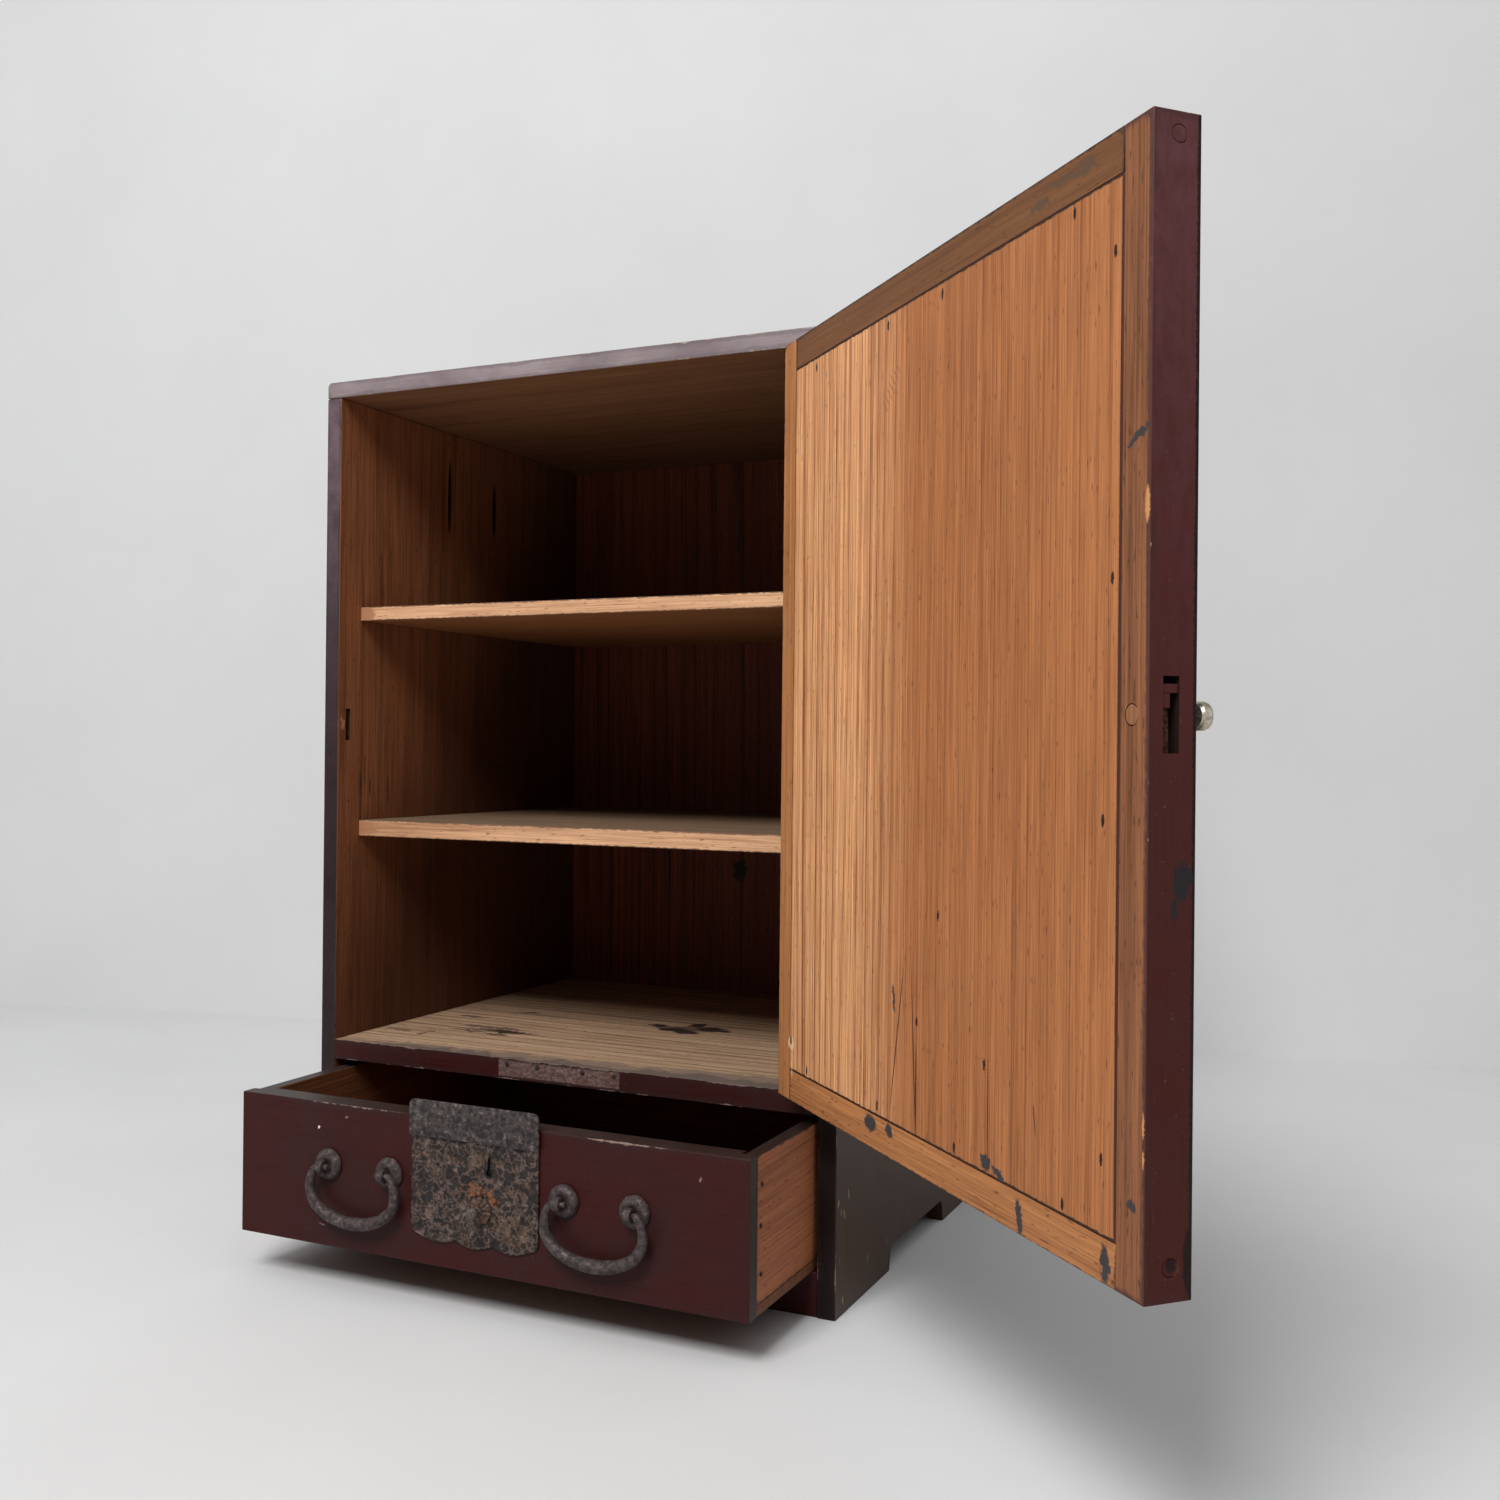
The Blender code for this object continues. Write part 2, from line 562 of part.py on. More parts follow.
def hinge_leaf(name, sign, reach, place, parent, keeps_ends):
    """One leaf with its knuckles: sign is its side of the pin, reach how far it runs back."""
    half = HINGE_LENGTH / 2
    third = HINGE_LENGTH / 6
    x_low, x_high = sorted((sign * LEAF_GAP / 2, sign * (LEAF_GAP / 2 + LEAF_THICKNESS)))
    leaf = board(name, (x_low, 0.0, -half), (x_high, reach, half), iron, parent)
    leaf.location = [middle + start for middle, start in zip(leaf.location, place)]
    barrel = tool(name + "_barrel", rod(KNUCKLE_RADIUS, HINGE_LENGTH, FINE_SIDES), place, parent)
    combine(leaf, barrel, "UNION")
    clear = KNUCKLE_RADIUS + FIT
    gaps = ((-third, third),) if keeps_ends else ((-half, -third), (third, half))
    for number, (z_low, z_high) in enumerate(gaps):
        past_low = OVERCUT if z_low == -half else FIT
        past_high = OVERCUT if z_high == half else FIT
        notch = box_cut(f"{name}_notch_{number}", (-clear - OVERCUT, -clear - OVERCUT, z_low - past_low),
                        (clear + OVERCUT, clear, z_high + past_high), parent)
        notch.location = [middle + start for middle, start in zip(notch.location, place)]
        combine(leaf, notch)
    bore = tool(name + "_bore", rod(PIN_RADIUS + FIT, HINGE_LENGTH + 2 * OVERCUT, FINE_SIDES), place, parent)
    combine(leaf, bore)


def make_hinges(door, right_side, hinge_stile):
    """Two butt hinges with their knuckles in front, let into the side and the door's edge."""
    let_in = LEAF_GAP / 2 + LEAF_THICKNESS + FIT
    case_reach = KNUCKLE_RADIUS + FIT + LEAF_WIDTH
    door_reach = door_face + LEAF_WIDTH
    half = HINGE_LENGTH / 2
    pin_half = half + FIT
    pin_profile = [
        (0.0, pin_half + PIN_HEAD_HEIGHT), (PIN_HEAD_RADIUS * 0.7, pin_half + PIN_HEAD_HEIGHT * 0.8),
        (PIN_HEAD_RADIUS, pin_half), (PIN_RADIUS, pin_half), (PIN_RADIUS, -pin_half), (0.0, -pin_half),
    ]
    for name, z in zip(("lower", "upper"), hinge_heights):
        place = (pivot_x, pivot_y, door_low + z)
        hinge_leaf(f"{name}_hinge_case_leaf", 1, case_reach, place, None, keeps_ends=True)
        hinge_leaf(f"{name}_hinge_door_leaf", -1, door_reach, (0.0, 0.0, z), door, keeps_ends=False)
        turned(f"{name}_hinge_pin", pin_profile, place, iron, turn=UPRIGHT, sides=FINE_SIDES)
        case_seat = box_cut(f"{name}_case_leaf_seat", (pivot_x, front - OVERCUT, place[2] - half - FIT),
                            (pivot_x + let_in, pivot_y + case_reach + FIT, place[2] + half + FIT))
        combine(right_side, case_seat)
        door_seat = box_cut(f"{name}_door_leaf_seat", (-let_in, door_face - OVERCUT, z - half - FIT),
                            (0.0, door_reach + FIT, z + half + FIT), door)
        combine(hinge_stile, door_seat)


def tongue_outline():
    """Flat tongue hanging from its hub, with a tip rounded about the spindle."""
    half = TONGUE_WIDTH / 2
    lean = math.asin(half / TONGUE_REACH)
    hub = arc(half, math.pi, 0.0, 8)
    tip = arc(TONGUE_REACH, -math.pi / 2 + lean, -math.pi / 2 - lean, 4)
    return hub + tip


def pocket_cutter(door):
    """Mortise in the free edge: the disc that the tongue sweeps, cut off behind its hub."""
    bm = rod(TONGUE_REACH + TONGUE_SWING_GAP, POCKET_WIDTH, 2 * ROUND_SIDES)
    behind = TONGUE_WIDTH / 2 + TONGUE_SWING_GAP
    bmesh.ops.bisect_plane(bm, geom=bm.verts[:] + bm.edges[:] + bm.faces[:], plane_co=(behind, 0.0, 0.0),
                           plane_no=(1.0, 0.0, 0.0), clear_outer=True)
    bmesh.ops.holes_fill(bm, edges=bm.edges, sides=0)
    bmesh.ops.recalc_face_normals(bm, faces=bm.faces)
    place = (latch_x, door_face + POCKET_SET + POCKET_WIDTH / 2, KNOB_HEIGHT)
    return tool("latch_pocket", bm, place, door, ALONG_Y)


def make_latch(door, stile, left_side):
    """Knob, spindle and tongue that turn together, their pocket and the keeper hole."""
    latch = axis("latch_axis", (latch_x, door_face, KNOB_HEIGHT), door)
    knob_start = COLLAR_LENGTH + FIT
    hole = SPINDLE_RADIUS + FIT
    turned("knob_collar", [
        (COLLAR_RADIUS, COLLAR_LENGTH), (COLLAR_RADIUS, FIT), (hole, FIT), (hole, COLLAR_LENGTH),
    ], (0.0, 0.0, 0.0), iron, latch, closed=True)
    shoulder = knob_start + KNOB_HEAD_LENGTH - KNOB_HEAD_CROWN
    dome = [(KNOB_HEAD_RADIUS * math.sin(a), shoulder + KNOB_HEAD_CROWN * math.cos(a))
            for a in (math.radians(degrees) for degrees in (0, 30, 55, 75, 90))]
    turned("knob_head", dome + [(KNOB_HEAD_RADIUS, knob_start), (0.0, knob_start)],
           (0.0, 0.0, 0.0), nickel, latch)
    spindle_end = plug_set - FIT
    spindle_length = COLLAR_LENGTH + spindle_end
    spindle_place = (0.0, spindle_end - spindle_length / 2, 0.0)
    spindle = rod(SPINDLE_RADIUS, spindle_length)
    piece("latch_spindle", spindle, spindle_place, iron, latch, ALONG_Y, smooth=True)
    tongue_place = (0.0, tongue_set + TONGUE_THICKNESS / 2, 0.0)
    tongue_plate = flat(tongue_outline(), TONGUE_THICKNESS)
    tongue = piece("latch_tongue", tongue_plate, tongue_place, rusty_iron, latch, ALONG_Y)
    tongue_hole = rod(hole, TONGUE_THICKNESS + 2 * OVERCUT)
    combine(tongue, tool("tongue_hole", tongue_hole, tongue_place, latch, ALONG_Y))
    plug_place = (latch_x, door_face + plug_set + SPINDLE_PLUG_LENGTH / 2, KNOB_HEIGHT)
    plug = rod(SPINDLE_PLUG_RADIUS, SPINDLE_PLUG_LENGTH)
    piece("spindle_plug", plug, plug_place, cedar, door, ALONG_Y, smooth=True)
    seat_length = SPINDLE_PLUG_LENGTH + FIT + OVERCUT
    seat_middle = door_face + plug_set - FIT + seat_length / 2
    combine(stile, pocket_cutter(door))
    combine(stile, tool("plug_seat", rod(SPINDLE_PLUG_RADIUS + FIT, seat_length),
                        (latch_x, seat_middle, KNOB_HEIGHT), door, ALONG_Y))
    bore_length = plug_set + OVERCUT
    bore_place = (latch_x, door_face - OVERCUT + bore_length / 2, KNOB_HEIGHT)
    combine(stile, tool("spindle_bore", rod(hole, bore_length), bore_place, door, ALONG_Y))
    clear_x = SPINDLE_INSET + DOOR_FREE_GAP
    half_height = math.sqrt(max(TONGUE_REACH ** 2 - clear_x ** 2, TONGUE_WIDTH ** 2 / 4)) + KEEPER_GAP
    keeper_y = front + DOOR_RECESS + tongue_set
    keeper_z = door_low + KNOB_HEIGHT
    keeper_low = (-inner_half - KEEPER_DEPTH, keeper_y - KEEPER_GAP, keeper_z - half_height)
    keeper_high = (-inner_half + OVERCUT, keeper_y + TONGUE_THICKNESS + KEEPER_GAP, keeper_z + half_height)
    combine(left_side, box_cut("keeper_hole", keeper_low, keeper_high))


def make_drawer_box(drawer):
    """Drawer front rebated over the sides, with the bottom board nailed on from below."""
    above = DRAWER_BOTTOM_THICKNESS + FIT
    drawer_front = board("drawer_front", (-drawer_half, 0.0, 0.0),
                         (drawer_half, DRAWER_FRONT_THICKNESS, DRAWER_HEIGHT), lacquer, drawer)
    behind = DRAWER_FRONT_THICKNESS + OVERCUT
    for name, sign in (("left", -1), ("right", 1)):
        x_low, x_high = sorted((sign * (side_inner - FIT), sign * (drawer_half + OVERCUT)))
        rebate = box_cut(f"drawer_{name}_rebate", (x_low, DRAWER_LIP, -OVERCUT),
                         (x_high, behind, DRAWER_HEIGHT + OVERCUT), drawer)
        combine(drawer_front, rebate)
        x_low, x_high = sorted((sign * side_inner, sign * side_outer))
        board(f"drawer_{name}_side", (x_low, DRAWER_LIP + FIT, above),
              (x_high, drawer_length, DRAWER_HEIGHT - DRAWER_SIDE_DROP), cedar, drawer)
    low_rebate = box_cut("drawer_low_rebate", (-drawer_half - OVERCUT, DRAWER_LIP, -OVERCUT),
                         (drawer_half + OVERCUT, behind, above), drawer)
    combine(drawer_front, low_rebate)
    back_half = side_inner - FIT
    board("drawer_back", (-back_half, drawer_length - DRAWER_BACK_THICKNESS, above),
          (back_half, drawer_length, DRAWER_HEIGHT - DRAWER_BACK_DROP), cedar, drawer)
    board("drawer_bottom", (-side_outer, DRAWER_LIP + FIT, 0.0),
          (side_outer, drawer_length, DRAWER_BOTTOM_THICKNESS), worn_cedar, drawer)
    return drawer_front


def plate_outline():
    """Lock plate: square top, rounded lower corners and a lower edge of shallow lobes."""
    half = PLATE_WIDTH / 2
    low = PLATE_LOW_MARGIN
    high = DRAWER_HEIGHT - PLATE_TOP_MARGIN
    right = arc(PLATE_CORNER, 0.0, -math.pi / 2, 3, (half - PLATE_CORNER, low + PLATE_CORNER))
    left = arc(PLATE_CORNER, -math.pi / 2, -math.pi, 3, (-half + PLATE_CORNER, low + PLATE_CORNER))
    run = PLATE_WIDTH - 2 * PLATE_CORNER
    steps = 6 * PLATE_LOBES
    lobes = []
    for step in range(1, steps):
        turn = math.pi * step / steps
        drop = PLATE_LOBE_DROP * abs(math.sin(PLATE_LOBES * turn)) + PLATE_BOW * math.sin(turn)
        lobes.append((run / 2 - run * step / steps, low - drop))
    return [(half, high)] + right + lobes + left + [(-half, high)]


def cap_outline():
    """Cap plate with two rounded upper corners."""
    half = PLATE_WIDTH / 2 + CAP_OVERHANG
    high = DRAWER_HEIGHT + CAP_RISE
    low = high - CAP_HEIGHT
    left = arc(CAP_CORNER, math.pi, math.pi / 2, 4, (-half + CAP_CORNER, high - CAP_CORNER))
    right = arc(CAP_CORNER, math.pi / 2, 0.0, 4, (half - CAP_CORNER, high - CAP_CORNER))
    return [(-half, low)] + left + right + [(half, low)]


def make_lock(drawer, drawer_front, floor):
    """Lock plate and cap outside, lock case and bolt inside, with the bolt's socket above."""
    plate_place = (0.0, plate_face + PLATE_THICKNESS / 2, 0.0)
    plate = piece("lock_plate", flat(plate_outline(), PLATE_THICKNESS), plate_place, iron, drawer, ALONG_Y)
    piece("lock_plate_cap", flat(cap_outline(), CAP_THICKNESS), (0.0, cap_face + CAP_THICKNESS / 2, 0.0),
          iron, drawer, ALONG_Y)
    slot_low = (KEYHOLE_PLACE - KEYHOLE_SLOT / 2, plate_face - OVERCUT, KEYHOLE_HEIGHT)
    slot_high = (KEYHOLE_PLACE + KEYHOLE_SLOT / 2, OVERCUT, KEYHOLE_HEIGHT + KEYHOLE_LENGTH)
    combine(plate, box_cut("keyhole_slot", slot_low, slot_high, drawer))
    key_eye = rod(KEYHOLE_RADIUS, PLATE_THICKNESS + 2 * OVERCUT, FINE_SIDES)
    key_place = (KEYHOLE_PLACE, plate_place[1], KEYHOLE_HEIGHT)
    combine(plate, tool("keyhole_eye", key_eye, key_place, drawer, ALONG_Y))

    stem_hole = STEM_RADIUS + FIT
    slot_top = LOCK_KNOB_HEIGHT + BOLT_THROW + stem_hole
    slot = box_cut("stem_slot", (LOCK_PLACE - stem_hole, plate_face - OVERCUT, LOCK_KNOB_HEIGHT - stem_hole),
                   (LOCK_PLACE + stem_hole, DRAWER_FRONT_THICKNESS + OVERCUT, slot_top), drawer)
    combine(plate, slot)
    combine(drawer_front, slot)

    bolt_low, bolt_high = LOCK_PLACE - BOLT_WIDTH / 2, LOCK_PLACE + BOLT_WIDTH / 2
    bolt_behind = bolt_face + BOLT_THICKNESS
    case_half = LOCK_CASE_WIDTH / 2
    case_low = LOCK_KNOB_HEIGHT - LOCK_CASE_TAIL
    case_behind = bolt_behind + FIT + LOCK_CASE_WALL
    lock_case = board("lock_case", (LOCK_PLACE - case_half, bolt_face, case_low),
                      (LOCK_PLACE + case_half, case_behind, DRAWER_HEIGHT - LOCK_CASE_DROP), iron, drawer)
    channel = box_cut("bolt_channel", (bolt_low - FIT, bolt_face - OVERCUT, case_low - OVERCUT),
                      (bolt_high + FIT, bolt_behind + FIT, DRAWER_HEIGHT), drawer)
    combine(lock_case, channel)

    bolt_axis = axis("lock_bolt_axis", (LOCK_PLACE, 0.0, LOCK_KNOB_HEIGHT), drawer)
    bolt = board("lock_bolt", (-BOLT_WIDTH / 2, bolt_face, -BOLT_TAIL),
                 (BOLT_WIDTH / 2, bolt_behind, bolt_top - LOCK_KNOB_HEIGHT), iron, bolt_axis)
    combine(bolt, tool("bolt_stem_hole", rod(stem_hole, BOLT_THICKNESS + 2 * OVERCUT),
                       (0.0, bolt_face + BOLT_THICKNESS / 2, 0.0), bolt_axis, ALONG_Y))
    seat = -plate_face + FIT
    rosette_top = seat + ROSETTE_HEIGHT
    turned("lock_rosette", [
        (stem_hole, rosette_top), (ROSETTE_RADIUS * 0.55, rosette_top - ROSETTE_HEIGHT * 0.25),
        (ROSETTE_RADIUS, seat + ROSETTE_HEIGHT * 0.35), (ROSETTE_RADIUS, seat), (stem_hole, seat),
    ], (0.0, 0.0, 0.0), iron, bolt_axis, closed=True)
    neck_low = rosette_top + FIT
    ball_middle = neck_low + LOCK_NECK_LENGTH + LOCK_BALL_RADIUS * 0.7
    neck_angle = -math.acos(LOCK_NECK_RADIUS / LOCK_BALL_RADIUS)
    ball = arc(LOCK_BALL_RADIUS, math.pi / 2, neck_angle, 8, (0.0, ball_middle))
    turned("lock_knob", [(0.0, ball[0][1])] + ball[1:] + [
        (LOCK_NECK_RADIUS, neck_low), (STEM_RADIUS, neck_low),
        (STEM_RADIUS, -bolt_behind), (0.0, -bolt_behind),
    ], (0.0, 0.0, 0.0), iron, bolt_axis)

    socket_low = (bolt_low - BOLT_PLAY, front + bolt_face - BOLT_PLAY, floor_under - OVERCUT)
    socket_top = floor_under + BOLT_THROW + BOLT_SOCKET_SPARE
    socket_high = (bolt_high + BOLT_PLAY, front + bolt_behind + BOLT_PLAY, socket_top)
    combine(floor, box_cut("bolt_socket", socket_low, socket_high))


def make_post(name, place, drawer, drawer_front):
    """Handle post: a shank through the drawer front, with an eye for the bail's end."""
    x, z = place
    shank_back = DRAWER_FRONT_THICKNESS + POST_TAIL
    shank_length = eye_lead + shank_back
    shank_place = (x, shank_back - shank_length / 2, z)
    shank = rod(POST_RADIUS, shank_length, FINE_SIDES)
    post = piece(name, shank, shank_place, iron, drawer, ALONG_Y, smooth=True)
    eye_place = (x, -eye_lead, z)
    combine(post, tool(name + "_eye", rod(EYE_RADIUS, EYE_WIDTH), eye_place, drawer, ALONG_X), "UNION")
    eye_hole = rod(BAIL_END_RADIUS + BAIL_PLAY, EYE_WIDTH + 2 * OVERCUT)
    combine(post, tool(name + "_eye_hole", eye_hole, eye_place, drawer, ALONG_X))
    bore_length = DRAWER_FRONT_THICKNESS + 2 * OVERCUT
    bore = rod(POST_RADIUS + FIT, bore_length, FINE_SIDES)
    combine(drawer_front, tool(name + "_bore", bore, (x, DRAWER_FRONT_THICKNESS / 2, z), drawer, ALONG_Y))


def make_washer(name, place, drawer):
    """Domed iron washer under a handle post."""
    hole = POST_RADIUS + FIT
    dome = [(WASHER_RADIUS * math.sin(a), FIT + WASHER_HEIGHT * math.cos(a))
            for a in (math.radians(degrees) for degrees in (25, 45, 65, 80))]
    profile = [(hole, dome[0][1])] + dome + [(WASHER_RADIUS, FIT), (hole, FIT)]
    turned(name, profile, (place[0], 0.0, place[1]), iron, drawer, closed=True)


def bail_path():
    """Half the bow, from the tip in the eye over the shoulder to the middle below."""
    eye = POST_SPACING / 2
    bend = eye + EYE_WIDTH / 2 + BAIL_PLAY
    widest = eye + BAIL_OUTREACH
    path = [(eye - EYE_WIDTH / 2 - BAIL_TIP, 0.0, BAIL_END_RADIUS), (bend, 0.0, BAIL_END_RADIUS)]
    growth = BAIL_MIDDLE_RADIUS - BAIL_END_RADIUS
    for step in range(1, BAIL_STEPS + 1):
        share = step / BAIL_STEPS
        turn = math.pi * share
        if turn <= math.pi / 2:
            x = bend + (widest - bend) * math.sin(turn)
            z = -BAIL_SHOULDER * (1 - math.cos(turn))
        else:
            x = widest * math.sin(turn)
            z = -BAIL_SHOULDER + (BAIL_DROP - BAIL_SHOULDER) * math.cos(turn)
        path.append((x, z, BAIL_END_RADIUS + growth * share))
    return path


def make_bail(name, middle, drawer):
    """Swinging iron bail, thickest at its middle, its thin ends held in the two eyes."""
    swing = axis(name + "_axis", (middle, -eye_lead, HANDLE_HEIGHT), drawer)
    right = bail_path()
    path = right + [(-x, z, radius) for x, z, radius in reversed(right[:-1])]
    curve = bpy.data.curves.new(name, "CURVE")
    curve.dimensions = "3D"
    curve.bevel_depth = BAIL_MIDDLE_RADIUS
    curve.bevel_resolution = 2
    curve.use_fill_caps = True
    spline = curve.splines.new("POLY")
    spline.points.add(len(path) - 1)
    for point, (x, z, radius) in zip(spline.points, path):
        point.co = (x, 0.0, z, 1.0)
        point.radius = radius / BAIL_MIDDLE_RADIUS
    spline.use_smooth = True
    curve.materials.append(iron)
    bail = bpy.data.objects.new(name, curve)
    bail.parent = swing
    cabinet.objects.link(bail)


def make_handles(drawer, drawer_front):
    """Two bail handles, one each side of the lock plate."""
    for side, middle in (("left", -handle_middle), ("right", handle_middle)):
        for end, x in (("left", middle - POST_SPACING / 2), ("right", middle + POST_SPACING / 2)):
            make_post(f"{side}_handle_{end}_post", (x, HANDLE_HEIGHT), drawer, drawer_front)
            make_washer(f"{side}_handle_{end}_washer", (x, HANDLE_HEIGHT), drawer)
        make_bail(f"{side}_bail", middle, drawer)


sides = make_sides()
make_top()
cupboard_floor = make_cupboard_floor()
make_inner_boards()
make_strike_plate(cupboard_floor)

door_axis = axis("door_axis", (pivot_x, pivot_y, door_low), turn=(0.0, 0.0, DOOR_OPEN_ANGLE))
door_frame = make_door_frame(door_axis)
make_edge_plugs(door_axis, door_frame["door_lock_stile"])
make_hinges(door_axis, sides["right_side"], door_frame["door_hinge_stile"])
make_latch(door_axis, door_frame["door_lock_stile"], sides["left_side"])

drawer_slide = axis("drawer_slide", (0.0, front - DRAWER_PULL, drawer_low))
drawer_board = make_drawer_box(drawer_slide)
make_lock(drawer_slide, drawer_board, cupboard_floor)
make_handles(drawer_slide, drawer_board)
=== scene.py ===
import json
import math

import bmesh
import bpy
from mathutils import Matrix, Vector, noise


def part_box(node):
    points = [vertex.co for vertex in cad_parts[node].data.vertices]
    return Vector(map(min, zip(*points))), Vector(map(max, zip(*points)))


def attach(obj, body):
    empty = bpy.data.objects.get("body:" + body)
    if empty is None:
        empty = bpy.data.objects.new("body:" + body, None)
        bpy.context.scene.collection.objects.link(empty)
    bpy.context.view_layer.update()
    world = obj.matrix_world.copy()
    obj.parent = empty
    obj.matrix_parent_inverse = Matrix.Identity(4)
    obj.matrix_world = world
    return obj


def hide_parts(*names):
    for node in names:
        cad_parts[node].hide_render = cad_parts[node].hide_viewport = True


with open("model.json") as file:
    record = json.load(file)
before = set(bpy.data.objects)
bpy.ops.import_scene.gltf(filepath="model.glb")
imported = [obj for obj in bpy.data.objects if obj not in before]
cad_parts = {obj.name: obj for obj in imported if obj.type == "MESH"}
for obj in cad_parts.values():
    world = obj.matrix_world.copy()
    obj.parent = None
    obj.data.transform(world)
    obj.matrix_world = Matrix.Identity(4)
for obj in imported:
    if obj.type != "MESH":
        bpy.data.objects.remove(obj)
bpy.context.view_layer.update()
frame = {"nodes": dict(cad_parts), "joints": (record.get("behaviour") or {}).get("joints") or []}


# Side boards: two upright cedar boards that run down to the floor and are sawn out in a low arch,
# which leaves a front and a rear foot. The outside and the edges carry a grey brown lacquer, scuffed
# to the wood at the corners; the inner faces are bare cedar with grooves for the shelves.
BOARD_EDGE = 0.0006
WEAR_REACH = 0.0045


def solid_shape(node, into=Matrix.Identity(4)):
    """A node's solid with its triangles paired, in the frame that its piece is worked in."""
    shape = bmesh.new()
    shape.from_mesh(frame["nodes"][node].data)
    bmesh.ops.remove_doubles(shape, verts=shape.verts, dist=0.00001)
    bmesh.ops.join_triangles(shape, faces=shape.faces, angle_face_threshold=0.01,
                             angle_shape_threshold=math.pi)
    bmesh.ops.transform(shape, matrix=into, verts=shape.verts)
    for face in shape.faces:
        face.smooth = False
    return shape


def ease_edges(shape, width, outer_only=True):
    """Rounds a board's corners over and returns the lines where they ran."""
    low, high = (Vector([pick(vert.co[i] for vert in shape.verts) for i in range(3)]) for pick in (min, max))
    corners = []
    for edge in shape.edges:
        if not edge.is_manifold or edge.calc_face_angle_signed() < 0.8:
            continue
        middle = (edge.verts[0].co + edge.verts[1].co) / 2
        on_box = [min(abs(middle[i] - low[i]), abs(middle[i] - high[i])) < 0.0001 for i in range(3)]
        if sum(on_box) > 1 or not outer_only:
            corners.append(edge)
    lines = [[vert.co.copy() for vert in edge.verts] for edge in corners]
    rounded = bmesh.ops.bevel(shape, geom=corners, offset=width, affect="EDGES", segments=2, profile=0.5,
                              material=-1, clamp_overlap=False, loop_slide=False)
    for face in rounded["faces"]:
        face.smooth = True
    return lines


def line_distance(point, line):
    start, end = line
    run = end - start
    share = (point - start).dot(run) / run.length_squared
    return (point - start - run * max(0.0, min(1.0, share))).length


def mark_wear(shape, lines, reach=WEAR_REACH):
    """Cuts a border along the board's edges and notes how near each point lies to a rounded one."""
    spans = [sorted(vert.co[i] for vert in shape.verts) for i in range(3)]
    for i, span in enumerate(spans):
        square = Vector([float(i == j) for j in range(3)])
        for cut in (span[0] + reach, span[-1] - reach):
            whole = shape.verts[:] + shape.edges[:] + shape.faces[:]
            bmesh.ops.bisect_plane(shape, geom=whole, dist=0.000001, plane_co=square * cut, plane_no=square)
    wear = shape.verts.layers.float.new("wear")
    for vert in shape.verts:
        nearest = min((line_distance(vert.co, line) for line in lines), default=reach)
        vert[wear] = max(0.0, 1.0 - nearest / reach)


def mark_grain(shape, axes, seed):
    """Notes each point's place in its board: across the grain, through the board and along it."""
    grain = shape.verts.layers.float_vector.new("grain")
    order = ["XYZ".index(letter) for letter in axes]
    shift = Vector((1.37, 0.71, 2.13)) * seed
    for vert in shape.verts:
        vert[grain] = Vector([vert.co[i] for i in order]) + shift


def set_piece(name, shape, body, nodes, finishes, choose=None, back=Matrix.Identity(4)):
    """Makes the shape a piece that rides on a body and stands for these nodes."""
    shape.normal_update()
    if choose:
        for face in shape.faces:
            face.material_index = choose(face.normal, face.calc_center_median())
    bmesh.ops.transform(shape, matrix=back, verts=shape.verts)
    mesh = bpy.data.meshes.new(name)
    shape.to_mesh(mesh)
    shape.free()
    if "custom_normal" in mesh.attributes:
        mesh.attributes.remove(mesh.attributes["custom_normal"])
    for finish in finishes:
        mesh.materials.append(finish)
    piece = bpy.data.objects.new(name, mesh)
    bpy.context.scene.collection.objects.link(piece)
    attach(piece, body)
    if nodes:
        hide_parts(*nodes)
    return piece


def add(tree, kind, inputs=None, **settings):
    """Adds a shader node with its settings, and sets or links its inputs."""
    made = tree.nodes.new("ShaderNode" + kind)
    for key, value in settings.items():
        setattr(made, key, value)
    for key, value in (inputs or {}).items():
        if isinstance(value, bpy.types.NodeSocket):
            tree.links.new(value, made.inputs[key])
        else:
            made.inputs[key].default_value = value
    return made


def number(tree, operation, *values):
    return add(tree, "Math", dict(enumerate(values)), operation=operation).outputs["Value"]


def spread(tree, value, low, high, to_low=0.0, to_high=1.0):
    """Stretches the part of a value between low and high, and holds the rest at the ends."""
    inputs = {"Value": value, "From Min": low, "From Max": high, "To Min": to_low, "To Max": to_high}
    return add(tree, "MapRange", inputs).outputs["Result"]


def mixed(tree, share, first, second):
    """Two colours mixed by a share."""
    ends = []
    for colour in (first, second):
        ends.append(colour if isinstance(colour, bpy.types.NodeSocket) else (*colour, 1.0))
    return add(tree, "Mix", {0: share, 6: ends[0], 7: ends[1]}, data_type="RGBA").outputs[2]


def patches(tree, place, size, detail=2.0, roughness=0.5):
    """Noise whose patches have these sizes in metres along the three coordinates."""
    scaled = add(tree, "VectorMath", {0: place, 1: [1.0 / part for part in size]}, operation="MULTIPLY")
    inputs = {"Vector": scaled.outputs["Vector"], "Scale": 1.0, "Detail": detail, "Roughness": roughness}
    return add(tree, "TexNoise", inputs).outputs["Fac"]


def new_finish(name):
    """An empty finish: its material, node tree, shader, and the place of a point in the cabinet."""
    material = bpy.data.materials.new(name)
    material.use_nodes = True
    tree = material.node_tree
    tree.nodes.clear()
    shader = add(tree, "BsdfPrincipled")
    add(tree, "OutputMaterial", {"Surface": shader.outputs["BSDF"]})
    return material, tree, shader, add(tree, "TexCoord").outputs["Object"]


def bumped(tree, shader, height, depth):
    bump = add(tree, "Bump", {"Strength": 1.0, "Distance": depth, "Height": height})
    tree.links.new(bump.outputs["Normal"], shader.inputs["Normal"])


